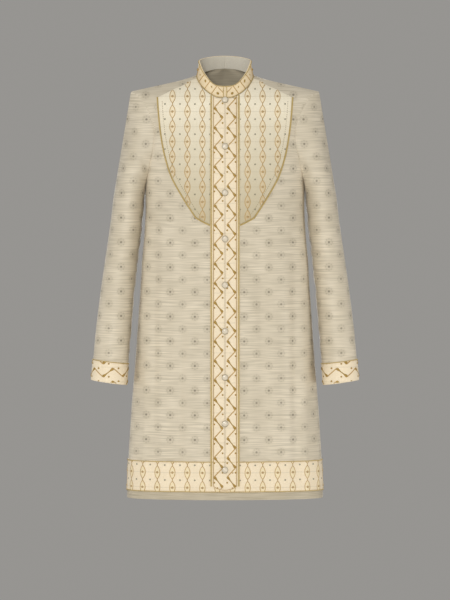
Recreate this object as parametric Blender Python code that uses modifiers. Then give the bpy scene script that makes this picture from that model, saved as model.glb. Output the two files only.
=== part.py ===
"""Sherwani coat, hollow as it is worn: its cloth panels, trims and buttons as separate solids.

Lengths in this file are millimetres, and MM turns them to metres as each mesh is made.
Frame: +Z up, the front towards -Y, the wearer's left at +X. The origin is the middle of the neck,
level with the neck ends of the shoulder seams, where a wearer holds the coat up.
"""

import math
from collections import namedtuple

import bmesh
import bpy
import numpy as np
from mathutils import Vector

MM = 0.001

# Thicknesses and gaps
SEAM_GAP = 0.3
CURVED_SEAM_GAP = 0.6    # at the neckline and armholes, where facets cut the corners of the curve
CLOTH = 1.5
TRIM = 1.0
BRAID = 1.5
COLLAR_WALL = 2.5

# How the coat is divided into facets
COLUMNS = 9              # from the centre line to the side seam
CAP_STEPS = 5
CAP_FULLNESS = 0.7       # how far the sleeve cap goes sideways from the seam before it turns down
ROUNDNESS = 2.4          # 2 would make each section an ellipse, more makes it squarer
FOLD_GROWTH = 1.3        # 1 would deepen a fold evenly from its top to the hem

# Placket, braids and buttons, all on the centre front
PLACKET_HALF_WIDTH = 28.0
PLACKET_SIDE_END = -976.0
PLACKET_TIP = -985.0
BRAID_OUTER_EDGE = 34.8
BIB_BRAID_WIDTH = 3.0
BUTTON_RADIUS = 7.8
BUTTON_HEIGHT = 5.2
BUTTON_COUNT = 9
BUTTON_FIRST_Z = -53.6
BUTTON_PITCH = 110.35
BUTTON_SIDES = 14
ABOVE_NECKLINE = 10.0    # trims on the centre front are cut from up here, past their cloth
CUTTER_HALF_DEPTH = 300.0

# Hem band: the two skirt levels below that it runs between
BAND_TOP = -916.0
BAND_FOOT = -990.0

# A section runs from the neckline or the centre line to the shoulder, armhole or side seam.
# depth is how far its inner end stands from the seam plane y = 0, and reach is the x at which
# its curve would come back to that plane.
Section = namedtuple("Section", "inner_x inner_z depth outer_x outer_z reach")

FRONT_YOKE = [
    Section(68.0, 0.0, 0.0, 225.6, -34.8, 262.0),
    Section(65.0, -8.0, 17.0, 219.5, -37.5, 256.0),
    Section(59.0, -18.0, 35.0, 211.0, -43.5, 250.0),
    Section(49.0, -29.0, 52.0, 200.0, -55.0, 242.0),
    Section(35.0, -40.0, 67.0, 188.0, -75.0, 232.0),
    Section(18.0, -48.0, 77.0, 177.0, -101.0, 220.0),
    Section(0.0, -50.5, 81.0, 168.5, -130.0, 208.0),
    Section(0.0, -100.0, 98.0, 171.0, -165.0, 200.0),
    Section(0.0, -150.0, 110.0, 178.0, -200.0, 195.5),
    Section(0.0, -200.0, 118.5, 185.5, -235.0, 193.0),
    Section(0.0, -250.0, 123.5, 191.5, -270.0, 191.5),
]

BACK_YOKE = [
    Section(68.0, 0.0, 0.0, 225.6, -34.8, 262.0),
    Section(64.0, 3.5, 17.0, 221.0, -39.5, 262.0),
    Section(55.0, 9.0, 34.0, 215.0, -50.0, 262.0),
    Section(40.0, 14.5, 49.0, 206.0, -66.0, 260.0),
    Section(21.0, 18.5, 58.0, 197.0, -88.0, 256.0),
    Section(0.0, 20.0, 62.0, 189.0, -115.0, 246.0),
    Section(0.0, -50.0, 92.0, 183.0, -150.0, 216.0),
    Section(0.0, -120.0, 109.0, 182.5, -188.0, 202.0),
    Section(0.0, -190.0, 116.0, 187.0, -230.0, 194.5),
    Section(0.0, -250.0, 115.0, 191.5, -270.0, 191.5),
]

# Below the underarm a section is level, and front and back meet at its side seams.
Level = namedtuple("Level", "z half_width front back")

SKIRT = [
    Level(-315.0, 190.5, 126.0, 111.0),
    Level(-375.0, 193.4, 126.5, 104.0),
    Level(-440.0, 199.0, 126.0, 99.0),
    Level(-505.0, 202.4, 127.0, 100.0),
    Level(-575.0, 207.8, 130.5, 108.5),
    Level(-645.0, 212.6, 135.0, 119.0),
    Level(-715.0, 217.8, 140.0, 127.0),
    Level(-785.0, 223.6, 145.5, 134.0),
    Level(-852.0, 228.0, 151.0, 141.0),
    Level(BAND_TOP, 231.8, 155.5, 147.5),
    Level(BAND_FOOT, 234.8, 161.0, 154.5),
    Level(-1008.0, 235.2, 162.5, 156.0),
]

# Rows of the grids that seams and trims start from
FIRST_CENTRE_ROW = sum(row.inner_x > 0 for row in FRONT_YOKE)
BACK_CENTRE_ROW = sum(row.inner_x > 0 for row in BACK_YOKE)
FRONT_SIDE_ROW = len(FRONT_YOKE) - 1
BACK_SIDE_ROW = len(BACK_YOKE) - 1
BAND_ROWS = slice(-3, -1)

# The largest soft folds: troughs that begin at the top end and are deepest at the hem.
Fold = namedtuple("Fold", "top_x top_z hem_x half_width depth")

FRONT_FOLDS = [
    Fold(-62.0, -400.0, -106.0, 30.0, 7.0),
    Fold(-150.0, -290.0, -176.0, 26.0, 7.0),
    Fold(44.0, -360.0, 96.0, 30.0, 7.5),
    Fold(150.0, -380.0, 172.0, 28.0, 8.0),
]
BACK_FOLDS = [
    Fold(-34.0, -470.0, -48.0, 32.0, 7.0),
    Fold(-118.0, -410.0, -150.0, 30.0, 8.0),
    Fold(60.0, -440.0, 84.0, 34.0, 8.0),
    Fold(146.0, -520.0, 174.0, 28.0, 6.0),
]
HEM_Z = SKIRT[-1].z

# Rings of the sleeve below the underarm, seen from the front: the outer and the inner edge,
# then the middle and the half depth from front to back.
Ring = namedtuple("Ring", "outer_x outer_z inner_x inner_z middle_y half_depth")

SLEEVE_RINGS = [
    Ring(268.0, -292.0, 193.8, -300.0, 4.0, 67.0),
    Ring(274.0, -345.0, 198.4, -354.0, 3.0, 66.0),
    Ring(281.5, -397.0, 204.6, -406.0, 1.0, 64.5),
    Ring(289.2, -449.0, 210.4, -459.0, -3.0, 62.5),
    Ring(296.6, -501.0, 216.6, -511.0, -9.0, 60.5),
    Ring(303.2, -553.0, 221.2, -563.0, -16.0, 58.0),
    Ring(310.2, -612.0, 226.0, -622.0, -26.0, 54.5),
    Ring(315.8, -674.6, 231.6, -684.7, -39.0, 50.5),
    Ring(320.4, -724.8, 235.2, -736.8, -50.0, 47.5),
]
CUFF_RINGS = 2

# Rim of the stand collar, from the centre front to the side and on to the centre back
Point = namedtuple("Point", "x y z")

COLLAR_RIM_FRONT = [
    Point(0.0, -65.6, -20.0),
    Point(12.0, -64.6, -19.6),
    Point(24.0, -61.3, -16.6),
    Point(35.0, -56.0, -8.0),
    Point(46.0, -47.0, 5.0),
    Point(54.7, -36.0, 18.0),
    Point(60.5, -22.0, 31.5),
    Point(62.4, -7.0, 38.5),
]
COLLAR_RIM_BACK = [
    Point(62.4, -7.0, 38.5),
    Point(58.5, 13.0, 42.5),
    Point(43.0, 32.0, 46.5),
    Point(22.0, 42.0, 49.3),
    Point(0.0, 45.0, 50.0),
]

# Outline of the embroidered bib on one half, seen from the front
Place = namedtuple("Place", "x z")

BIB_OUTER_EDGE = [
    Place(160.0, -48.0),
    Place(156.5, -94.0),
    Place(147.5, -161.0),
    Place(129.5, -228.0),
    Place(100.0, -284.0),
    Place(68.5, -333.0),
]
BIB_LOWER_EDGE = [
    Place(68.5, -333.0),
    Place(52.0, -344.0),
    Place(BRAID_OUTER_EDGE + SEAM_GAP, -350.5),
]
BIB_TOP_EDGE = [
    Place(BRAID_OUTER_EDGE + SEAM_GAP, ABOVE_NECKLINE),
    Place(66.0, 6.0),
    Place(67.5, -2.6),
    Place(84.0, -9.6),
    Place(102.0, -20.6),
    Place(123.4, -29.4),
    Place(142.0, -39.0),
]

FRONT = -1
BACK = 1
SIDES = {"left": 1, "right": -1}
BODY_MIDDLE = (0.0, 0.0, -500.0)

SILK = ("dupion_silk", (0.62, 0.58, 0.48, 1.0), 0.55, 0.0)
EMBROIDERED = ("embroidered_silk", (0.80, 0.73, 0.58, 1.0), 0.6, 0.0)
GOLD = ("gold_braid", (0.46, 0.33, 0.13, 1.0), 0.4, 0.6)
PEARL = ("pearl_button", (0.60, 0.57, 0.50, 1.0), 0.25, 0.0)


# Curves and grids of points

def unit(vectors):
    return vectors / np.linalg.norm(vectors, axis=-1, keepdims=True).clip(1e-9)


def smooth_line(points, steps):
    """Points along a smooth curve through the given ones, with the given steps between two."""
    corners = np.array(points, dtype=float)
    padded = np.vstack([2 * corners[0] - corners[1], corners, 2 * corners[-1] - corners[-2]])
    line = []
    for a, b, c, d in zip(padded, padded[1:], padded[2:], padded[3:]):
        for t in np.arange(steps) / steps:
            line.append(0.5 * (2 * b + (c - a) * t + (2 * a - 5 * b + 4 * c - d) * t ** 2
                               + (3 * b - a - 3 * c + d) * t ** 3))
    line.append(corners[-1])
    return np.array(line)


def length_shares(line):
    """Share of a line's length at each of its points, from 0 to 1."""
    lengths = np.linalg.norm(np.diff(line, axis=0), axis=1)
    return np.concatenate([[0.0], np.cumsum(lengths)]) / lengths.sum()


def points_at(line, shares):
    """Points of a line at the given shares of its length."""
    own = length_shares(line)
    return np.column_stack([np.interp(shares, own, line[:, axis]) for axis in range(3)])


def section_points(section, facing):
    """Points along one section, closer together where it turns round to the side."""
    half = ROUNDNESS / 2
    start = math.asin((section.inner_x / section.reach) ** half)
    end = math.asin((section.outer_x / section.reach) ** half)
    turn = np.linspace(start, end, COLUMNS + 1)
    x = section.reach * np.sin(turn) ** (1 / half)
    across = (x - section.inner_x) / (section.outer_x - section.inner_x)
    z = section.inner_z + (section.outer_z - section.inner_z) * across
    deepest = section.depth / math.cos(start) ** (1 / half)
    y = facing * deepest * np.clip(np.cos(turn), 0.0, 1.0) ** (1 / half)
    return np.column_stack([x, y, z])


def press_folds(grid, folds, facing):
    """Press the soft folds into a half panel; they fade out towards its side seam."""
    x, y, z = grid[..., 0], grid[..., 1], grid[..., 2]
    flatness = np.abs(y) / np.abs(y).max(axis=1, keepdims=True).clip(1.0)
    for fold in folds:
        down = np.clip((fold.top_z - z) / (fold.top_z - HEM_Z), 0.0, 1.0)
        middle = fold.top_x + (fold.hem_x - fold.top_x) * down
        trough = np.exp(-((x - middle) / fold.half_width) ** 2)
        y -= facing * fold.depth * trough * down ** FOLD_GROWTH * flatness


def half_panel(yoke, facing, side, folds):
    """Grid of one half of the front or back: a row for each section, from neck to hem."""
    rows = list(yoke)
    for level in SKIRT:
        depth = level.front if facing == FRONT else level.back
        rows.append(Section(0.0, level.z, depth, level.half_width, level.z, level.half_width))
    grid = np.array([section_points(row, facing) for row in rows])
    grid[..., 0] *= side
    press_folds(grid, folds, facing)
    return grid


def outward_normals(grid):
    """Unit normals of a grid, pointing away from the middle of the hollow."""
    along = np.gradient(grid, axis=0)
    across = np.gradient(grid, axis=1)
    normals = unit(np.cross(along, across))
    middle = grid.mean(axis=(0, 1)) * [1.0, 0.0, 1.0]
    if np.sum(normals * (grid - middle)) < 0:
        normals = -normals
    return normals


def joined_normals(left, right, first_row):
    """Normals of two halves that meet on the centre line from one row down, shared along it."""
    pair = [outward_normals(left), outward_normals(right)]
    shared = unit(pair[0][first_row:, 0] + pair[1][first_row:, 0])
    for normals in pair:
        normals[first_row:, 0] = shared
    return pair


# Seams


def into_piece(seam, normals, neighbours, closed=False):
    """Directions from a seam into a piece, square to the seam and along the cloth."""
    if closed:
        tangents = np.roll(seam, -1, axis=0) - np.roll(seam, 1, axis=0)
    else:
        tangents = np.gradient(seam, axis=0)
    directions = unit(np.cross(normals, unit(tangents)))
    towards = np.sum(directions * (neighbours - seam), axis=1)
    return directions * np.where(towards < 0, -1.0, 1.0)[:, None]


def set_back(gap, seam_normals, into_own, into_other):
    """How far an edge stops before its seam: half the gap, and more where the cloth turns over
    the seam, because there the inner faces of the two walls would meet."""
    straight = -np.sum(into_own * into_other, axis=1)
    turned_over = np.sum((into_own + into_other) * seam_normals, axis=1) < 0
    turn = np.sqrt((1 - straight) / (1 + straight).clip(0.3))
    return gap / 2 + np.where(turned_over, CLOTH * turn, 0.0)


def part_seam(grid_a, grid_b, edge_a, edge_b, next_a, next_b):
    """Move two pieces' shared edge points apart along the cloth. Each edge comes with the line
    of points next to it."""
    seam = grid_a[edge_a].copy()
    normals_a = outward_normals(grid_a)[edge_a]
    normals_b = outward_normals(grid_b)[edge_b]
    into_a = into_piece(seam, normals_a, grid_a[next_a])
    into_b = into_piece(seam, normals_b, grid_b[next_b])
    normals = unit(normals_a + normals_b)
    grid_a[edge_a] += into_a * set_back(SEAM_GAP, normals, into_a, into_b)[:, None]
    grid_b[edge_b] += into_b * set_back(SEAM_GAP, normals, into_b, into_a)[:, None]


# Sleeves

def armhole_loop(front, back):
    """Armhole points from the shoulder tip down the front, under the arm and up the back."""
    return np.vstack([front[:FRONT_SIDE_ROW + 1, -1], back[BACK_SIDE_ROW - 1:0:-1, -1]])


def ring_angles(loop):
    """Where each armhole point lies round the sleeve: 0 at the outer edge, 180 at the inner."""
    front_part = length_shares(loop[:FRONT_SIDE_ROW + 1]) * math.pi
    back_part = length_shares(np.vstack([loop[FRONT_SIDE_ROW:], loop[:1]])) * math.pi + math.pi
    return np.concatenate([front_part, back_part[1:-1]])


def sleeve_ring(ring, angles, side):
    outer = np.array([ring.outer_x * side, ring.middle_y, ring.outer_z])
    inner = np.array([ring.inner_x * side, ring.middle_y, ring.inner_z])
    middle = (outer + inner) / 2
    forward = np.array([0.0, -ring.half_depth, 0.0])
    return (middle + np.cos(angles)[:, None] * (outer - inner) / 2
            + np.sin(angles)[:, None] * forward)


def sleeve_grid(front, back, side):
    """Rings of points from the armhole to the cuff. Between the armhole and the first full ring
    the cap leaves the seam sideways and then turns down the arm."""
    loop = armhole_loop(front, back)
    angles = ring_angles(loop)
    rings = [sleeve_ring(ring, angles, side) for ring in SLEEVE_RINGS]
    top = rings[0]
    down = unit(rings[1] - top)
    rise = (loop[:, 2] - top[:, 2]) / -down[:, 2]
    above_top = top - down * rise[:, None]
    halfway = (loop + top) / 2
    pull = CAP_FULLNESS * np.abs(np.sin(angles))[:, None]
    control = halfway + pull * (above_top - halfway)
    cap = []
    for t in np.arange(CAP_STEPS) / CAP_STEPS:
        cap.append((1 - t) ** 2 * loop + 2 * t * (1 - t) * control + t ** 2 * top)
    return np.array(cap + rings)


def closed_round(grid):
    """A tube's grid with its first column repeated at the end."""
    return np.concatenate([grid, grid[:, :1]], axis=1)


def tube_normals(tube):
    """Outward unit normals of a tube's grid, worked out round its closing line too."""
    wrapped = np.concatenate([tube[:, -1:], tube, tube[:, :1]], axis=1)
    normals = unit(np.cross(np.gradient(wrapped, axis=0), np.gradient(wrapped, axis=1)))[:, 1:-1]
    if np.sum(normals * (tube - tube.mean(axis=1, keepdims=True))) < 0:
        normals = -normals
    return normals


def part_armhole(front, back, sleeve):
    """Move the sleeve's first ring and the two panels' armhole edges apart. Under the arm the
    sleeve folds back beside the panels, so it also stands out from them by the gap."""
    seam = sleeve[0].copy()
    front_normals = outward_normals(front)
    back_normals = outward_normals(back)
    panel_normals = armhole_loop(front_normals, back_normals)
    panel_normals[0] += back_normals[0, -1]
    panel_normals[FRONT_SIDE_ROW] += back_normals[BACK_SIDE_ROW, -1]
    panel_normals = unit(panel_normals)
    inside = armhole_loop(front[:, :-1], back[:, :-1])
    inside[FRONT_SIDE_ROW] = front[FRONT_SIDE_ROW + 1, -1]
    sleeve_normals = tube_normals(sleeve)[0]
    into_panel = into_piece(seam, panel_normals, inside, closed=True)
    into_sleeve = into_piece(seam, sleeve_normals, sleeve[1], closed=True)
    normals = unit(panel_normals + sleeve_normals)
    gap = CURVED_SEAM_GAP
    panel_shift = into_panel * set_back(gap, normals, into_panel, into_sleeve)[:, None]
    sleeve_shift = into_sleeve * set_back(gap, normals, into_sleeve, into_panel)[:, None]
    folded = np.sum(into_panel * into_sleeve, axis=1).clip(0.0)
    sleeve_shift += panel_normals * (gap * folded)[:, None]
    front[:FRONT_SIDE_ROW + 1, -1] += panel_shift[:FRONT_SIDE_ROW + 1]
    back[BACK_SIDE_ROW:0:-1, -1] += panel_shift[FRONT_SIDE_ROW:]
    back[0, -1] += panel_shift[0]
    sleeve[0] += sleeve_shift


# Objects

def material(finish):
    name, colour, roughness, metallic = finish
    found = bpy.data.materials.get(name)
    if found:
        return found
    made = bpy.data.materials.new(name)
    made.use_nodes = True
    shader = made.node_tree.nodes["Principled BSDF"]
    shader.inputs["Base Color"].default_value = colour
    shader.inputs["Roughness"].default_value = roughness
    shader.inputs["Metallic"].default_value = metallic
    return made


def surface_mesh(name, grids, inside):
    """Mesh of one or more grids of points, welded where they meet, facing away from inside.
    Its faces are triangles, cut the same way on a panel and on the trims that lie on it."""
    shape = bmesh.new()
    for grid in grids:
        rows = [[shape.verts.new(point * MM) for point in row] for row in grid]
        for upper, lower in zip(rows, rows[1:]):
            for k in range(len(upper) - 1):
                shape.faces.new((upper[k], upper[k + 1], lower[k + 1]))
                shape.faces.new((upper[k], lower[k + 1], lower[k]))
    bmesh.ops.remove_doubles(shape, verts=shape.verts, dist=0.02 * MM)
    bmesh.ops.recalc_face_normals(shape, faces=shape.faces)
    middle = Vector(inside) * MM
    facing = sum(face.normal.dot(face.calc_center_median() - middle) for face in shape.faces)
    if facing < 0:
        bmesh.ops.reverse_faces(shape, faces=shape.faces)
    mesh = bpy.data.meshes.new(name)
    shape.to_mesh(mesh)
    shape.free()
    return mesh


def cloth_piece(name, grids, thickness, finish, outward=False, inside=BODY_MIDDLE):
    """A cloth wall on grids of points: its thickness goes inward, or outward on a trim."""
    mesh = surface_mesh(name, grids, inside)
    mesh.materials.append(material(finish))
    piece = bpy.data.objects.new(name, mesh)
    parts.objects.link(piece)
    wall = piece.modifiers.new("wall", "SOLIDIFY")
    wall.thickness = thickness * MM
    wall.offset = 1.0 if outward else -1.0
    return piece


def outline_cutter(name, outline):
    """A prism along Y over an outline seen from the front, to cut a trim out of its cloth."""
    curve = bpy.data.curves.new(name, "CURVE")
    curve.dimensions = "2D"
    curve.fill_mode = "BOTH"
    curve.extrude = CUTTER_HALF_DEPTH * MM
    spline = curve.splines.new("POLY")
    spline.points.add(len(outline) - 1)
    for point, (x, z) in zip(spline.points, outline):
        point.co = (x * MM, z * MM, 0.0, 1.0)
    spline.use_cyclic_u = True
    drawn = bpy.data.objects.new(name + "_outline", curve)
    cutters.objects.link(drawn)
    drawn.rotation_euler = (math.radians(90.0), 0.0, 0.0)
    bpy.context.view_layer.update()
    evaluated = drawn.evaluated_get(bpy.context.evaluated_depsgraph_get())
    mesh = bpy.data.meshes.new_from_object(evaluated)
    shape = bmesh.new()
    shape.from_mesh(mesh)
    bmesh.ops.remove_doubles(shape, verts=shape.verts, dist=0.01 * MM)
    bmesh.ops.recalc_face_normals(shape, faces=shape.faces)
    shape.to_mesh(mesh)
    shape.free()
    cutter = bpy.data.objects.new(name + "_cutter", mesh)
    cutter.matrix_world = drawn.matrix_world
    bpy.data.objects.remove(drawn)
    cutters.objects.link(cutter)
    cutter.hide_render = True
    cutter.display_type = "WIRE"
    return cutter


def cut_to(piece, cutter):
    trim = piece.modifiers.new("outline", "BOOLEAN")
    trim.operation = "INTERSECT"
    trim.object = cutter


def lifted(grid, normals, lift):
    """Points of a panel, moved out from it by one lift, or by one for each row."""
    return grid + normals * np.reshape(lift, (-1, 1, 1))


# Pieces of the coat

def make_collar(front_half, back_half):
    """Stand collar: a band round the neck, from the neckline seam up to its rim, whose two ends
    meet at the centre front."""
    neck_front = front_half[FIRST_CENTRE_ROW::-1, 0]
    neck_back = back_half[:BACK_CENTRE_ROW + 1, 0]
    rim_front = points_at(smooth_line(COLLAR_RIM_FRONT, 4), length_shares(neck_front))
    rim_back = points_at(smooth_line(COLLAR_RIM_BACK, 4), length_shares(neck_back))
    foot = np.vstack([neck_front, neck_back[1:]])
    rim = np.vstack([rim_front, rim_back[1:]])
    foot = foot + unit(rim - foot) * CURVED_SEAM_GAP
    half = np.array([rim, (foot + rim) / 2, foot])
    half[:, 0, 0] += SEAM_GAP / 2
    mirrored = half[:, ::-1] * [-1.0, 1.0, 1.0]
    band = np.concatenate([half[:, :-1], mirrored], axis=1)
    cloth_piece("collar", [band], COLLAR_WALL, EMBROIDERED, inside=band.mean(axis=(0, 1)))


def make_bib(name, side, grid, normals):
    """Embroidered bib on one front, and the gold braid sewn along its outer and lower edge."""
    outer = smooth_line(BIB_OUTER_EDGE, 4)
    lower = smooth_line(BIB_LOWER_EDGE, 3)
    edge = np.vstack([outer, lower[1:]])
    bib_outline = np.vstack([np.array(BIB_TOP_EDGE), edge]) * [side, 1.0]
    shell = lifted(grid, normals, SEAM_GAP)
    bib = cloth_piece("bib_" + name, [shell], TRIM, EMBROIDERED, outward=True)
    cut_to(bib, outline_cutter("bib_" + name, bib_outline))

    tangents = unit(np.gradient(edge, axis=0))
    away = np.column_stack([-tangents[:, 1], tangents[:, 0]])
    near = edge + away * SEAM_GAP
    far = edge + away * (SEAM_GAP + BIB_BRAID_WIDTH)
    far[-1, 0] = near[-1, 0] = BRAID_OUTER_EDGE + SEAM_GAP
    braid_outline = np.vstack([near, far[::-1]]) * [side, 1.0]
    braid = cloth_piece("bib_braid_" + name, [shell], BRAID, GOLD, outward=True)
    cut_to(braid, outline_cutter("bib_braid_" + name, braid_outline))


def placket_lifts(layer_below):
    """Lift of each row: on the panel, and over the hem band from its top edge down."""
    levels = [0.0] * len(FRONT_YOKE) + [level.z for level in SKIRT]
    over_band = SEAM_GAP + TRIM
    return np.array([layer_below + (over_band if z <= BAND_TOP else 0.0) for z in levels])


def make_placket(grids, normals):
    """Embroidered placket over the closing, rounded at its foot, with a braid on either side."""
    lift = placket_lifts(SEAM_GAP)
    shells = [lifted(grid, normal, lift) for grid, normal in zip(grids, normals)]
    sagitta = PLACKET_SIDE_END - PLACKET_TIP
    radius = (PLACKET_HALF_WIDTH ** 2 + sagitta ** 2) / (2 * sagitta)
    reach = math.asin(PLACKET_HALF_WIDTH / radius)
    foot = [(radius * math.sin(a), PLACKET_TIP + radius * (1 - math.cos(a)))
            for a in np.linspace(-reach, reach, 9)]
    outline = foot + [(PLACKET_HALF_WIDTH, ABOVE_NECKLINE), (-PLACKET_HALF_WIDTH, ABOVE_NECKLINE)]
    placket = cloth_piece("placket", shells, TRIM, EMBROIDERED, outward=True)
    cut_to(placket, outline_cutter("placket", outline))

    for (name, side), shell in zip(SIDES.items(), shells):
        inner = side * (PLACKET_HALF_WIDTH + SEAM_GAP)
        outer = side * BRAID_OUTER_EDGE
        strip = [(inner, PLACKET_SIDE_END), (outer, PLACKET_SIDE_END),
                 (outer, ABOVE_NECKLINE), (inner, ABOVE_NECKLINE)]
        braid = cloth_piece("placket_braid_" + name, [shell], BRAID, GOLD, outward=True)
        cut_to(braid, outline_cutter("placket_braid_" + name, strip))


def make_buttons(centre_line, normals):
    """Domed buttons down the placket, each square to the cloth below it."""
    profile = [(0.0, 1.0), (0.45, 0.94), (0.8, 0.68), (0.92, 0.42), (1.0, 0.34), (1.0, 0.12),
               (0.88, 0.0), (0.0, 0.0)]
    mesh = bpy.data.meshes.new("button")
    points = [(x * BUTTON_RADIUS * MM, 0.0, z * BUTTON_HEIGHT * MM) for x, z in profile]
    mesh.from_pydata(points, [(k, k + 1) for k in range(len(points) - 1)], [])
    mesh.materials.append(material(PEARL))
    surface = lifted(centre_line[:, None], normals[:, None],
                     placket_lifts(SEAM_GAP + TRIM)[FIRST_CENTRE_ROW:])[::-1, 0]
    for number in range(BUTTON_COUNT):
        z = BUTTON_FIRST_Z - number * BUTTON_PITCH
        above = min(z + BUTTON_RADIUS, surface[-1, 2])
        below = z - BUTTON_RADIUS
        y_above, y_here, y_below = np.interp([above, z, below], surface[:, 2], surface[:, 1])
        slope = (y_above - y_below) / (above - below)
        seat = min(y_here, y_below + slope * (z - below)) - SEAM_GAP / math.cos(math.atan(slope))
        button = bpy.data.objects.new(f"button_{number + 1}", mesh)
        button.location = (0.0, seat * MM, z * MM)
        button.rotation_euler = (math.radians(90.0) - math.atan(slope), 0.0, 0.0)
        parts.objects.link(button)
        turned = button.modifiers.new("turned", "SCREW")
        turned.steps = BUTTON_SIDES
        turned.render_steps = BUTTON_SIDES
        turned.use_merge_vertices = True
        turned.merge_threshold = 0.01 * MM


def make_half(name, side):
    """One front with its trims, one sleeve with its cuff, and the points of half the back."""
    front = half_panel(FRONT_YOKE, FRONT, side, FRONT_FOLDS)
    back = half_panel(BACK_YOKE, BACK, side, BACK_FOLDS)
    sleeve = sleeve_grid(front, back, side)
    if side > 0:
        make_collar(front, back)
    part_armhole(front, back, sleeve)
    part_seam(front, back, np.s_[0, :], np.s_[0, :], np.s_[1, :], np.s_[1, :])
    part_seam(front, back, np.s_[FRONT_SIDE_ROW:, -1], np.s_[BACK_SIDE_ROW:, -1],
              np.s_[FRONT_SIDE_ROW:, -2], np.s_[BACK_SIDE_ROW:, -2])

    arm = sleeve.mean(axis=(0, 1))
    cloth_piece("sleeve_" + name, [closed_round(sleeve)], CLOTH, SILK, inside=arm)
    cuff = sleeve[-CUFF_RINGS:] + SEAM_GAP * tube_normals(sleeve)[-CUFF_RINGS:]
    cloth_piece("cuff_" + name, [closed_round(cuff)], TRIM, EMBROIDERED, outward=True, inside=arm)

    make_bib(name, side, front, outward_normals(front))
    whole_front = front.copy()
    turned_in = np.abs(outward_normals(front)[FIRST_CENTRE_ROW:, 0, 0])
    front[FIRST_CENTRE_ROW:, 0, 0] = side * (SEAM_GAP / 2 + 1.5 * CLOTH * turned_in)
    cloth_piece("front_" + name, [front], CLOTH, SILK)
    band = lifted(front, outward_normals(front), SEAM_GAP)[BAND_ROWS]
    cloth_piece("hem_band_" + name, [band], TRIM, EMBROIDERED, outward=True)
    return whole_front, back


def collection(name):
    made = bpy.data.collections.new(name)
    bpy.context.scene.collection.children.link(made)
    return made


for leftover in list(bpy.data.objects):
    bpy.data.objects.remove(leftover)
parts = collection("sherwani")
cutters = collection("cutters")

halves = [make_half(name, side) for name, side in SIDES.items()]
fronts, backs = zip(*halves)
cloth_piece("back", backs, CLOTH, SILK)
back_normals = joined_normals(*backs, BACK_CENTRE_ROW)
back_bands = [lifted(grid, normals, SEAM_GAP)[BAND_ROWS]
              for grid, normals in zip(backs, back_normals)]
cloth_piece("hem_band_back", back_bands, TRIM, EMBROIDERED, outward=True)
front_normals = joined_normals(*fronts, FIRST_CENTRE_ROW)
make_placket(fronts, front_normals)
make_buttons(fronts[0][FIRST_CENTRE_ROW:, 0], front_normals[0][FIRST_CENTRE_ROW:, 0])
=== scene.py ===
# %% [markdown]
# # A sherwani coat
# A sherwani is a long South Asian coat with a stand collar. This one is silk dupion with an
# embroidered bib, placket, cuffs and hem band, gold braids and nine pearl buttons. It is shown filled
# out and hollow, as if someone wore it. The solids of its pieces are loaded first as a fixed frame. The
# script then makes the fine surface of each piece on that frame: cloth, threads, braids and buttons.

# %% Open the frame
import math
from collections import namedtuple

import bmesh
import bpy
import numpy as np
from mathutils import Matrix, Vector
from mathutils.bvhtree import BVHTree


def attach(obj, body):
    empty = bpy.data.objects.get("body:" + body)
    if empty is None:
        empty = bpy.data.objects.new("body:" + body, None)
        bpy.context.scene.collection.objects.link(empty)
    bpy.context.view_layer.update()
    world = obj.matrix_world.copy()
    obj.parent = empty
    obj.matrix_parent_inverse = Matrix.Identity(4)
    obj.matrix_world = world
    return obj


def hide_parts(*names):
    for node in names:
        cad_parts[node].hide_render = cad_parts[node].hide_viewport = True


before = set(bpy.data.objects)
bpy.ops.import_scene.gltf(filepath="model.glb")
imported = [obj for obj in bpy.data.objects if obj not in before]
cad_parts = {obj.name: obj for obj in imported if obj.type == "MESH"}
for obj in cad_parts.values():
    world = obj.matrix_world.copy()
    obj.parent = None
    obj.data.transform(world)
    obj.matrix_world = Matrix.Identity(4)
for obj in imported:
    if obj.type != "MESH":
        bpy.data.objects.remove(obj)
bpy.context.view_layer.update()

# %% [markdown]
# ## Units and helpers
# Every length below is in millimetres, because a tailor's and an embroiderer's sizes are. MM turns
# them to metres where a mesh or a material is made. Colours are written as hex values, which are sRGB,
# and Blender's shaders want linear light, so one function turns them. Most of this lesson is made with
# nodes. They could be dragged together by hand, but here one function adds any node to any tree, with
# its settings and its links, so that a tree reads like a formula.

# %% Helpers
MM = 0.001
# How a node's type can start, in each type of tree.
FAMILIES = {"SHADER": ["ShaderNode"],
            "GEOMETRY": ["GeometryNode", "FunctionNode", "ShaderNode", "Node"]}


def linear(hex_colour):
    """Linear RGBA of an sRGB hex colour."""
    parts = [int(hex_colour[k:k + 2], 16) / 255 for k in (1, 3, 5)]
    return (*[c / 12.92 if c <= 0.04045 else ((c + 0.055) / 1.055) ** 2.4 for c in parts], 1.0)


def way_out(node):
    """The first output that a node shows."""
    return next(socket for socket in node.outputs if socket.enabled)


def add(tree, kind, *inputs, **settings):
    """Add a node: its kind, with its operation where it has one, and what goes in, in the order in
    which the node shows it. That is a value, a node or socket to link, or a list of them for a socket
    that takes many. None leaves a socket as it is."""
    kind, _, operation = kind.partition(" ")
    made = tree.nodes.new(next(f + kind for f in FAMILIES[tree.type] if hasattr(bpy.types, f + kind)))
    if operation:
        made.operation = operation
    for name, value in settings.items():
        setattr(made, name, value)
    ways_in = [socket for socket in made.inputs if socket.enabled]
    for socket, value in zip(ways_in, inputs):
        for part in value if isinstance(value, list) else [value]:
            if isinstance(part, bpy.types.Node):
                part = way_out(part)
            if isinstance(part, bpy.types.NodeSocket):
                tree.links.new(part, socket)
            elif part is not None:
                socket.default_value = part
    return made


print("mid grey in linear light:", [round(c, 3) for c in linear("#808080")])

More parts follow.
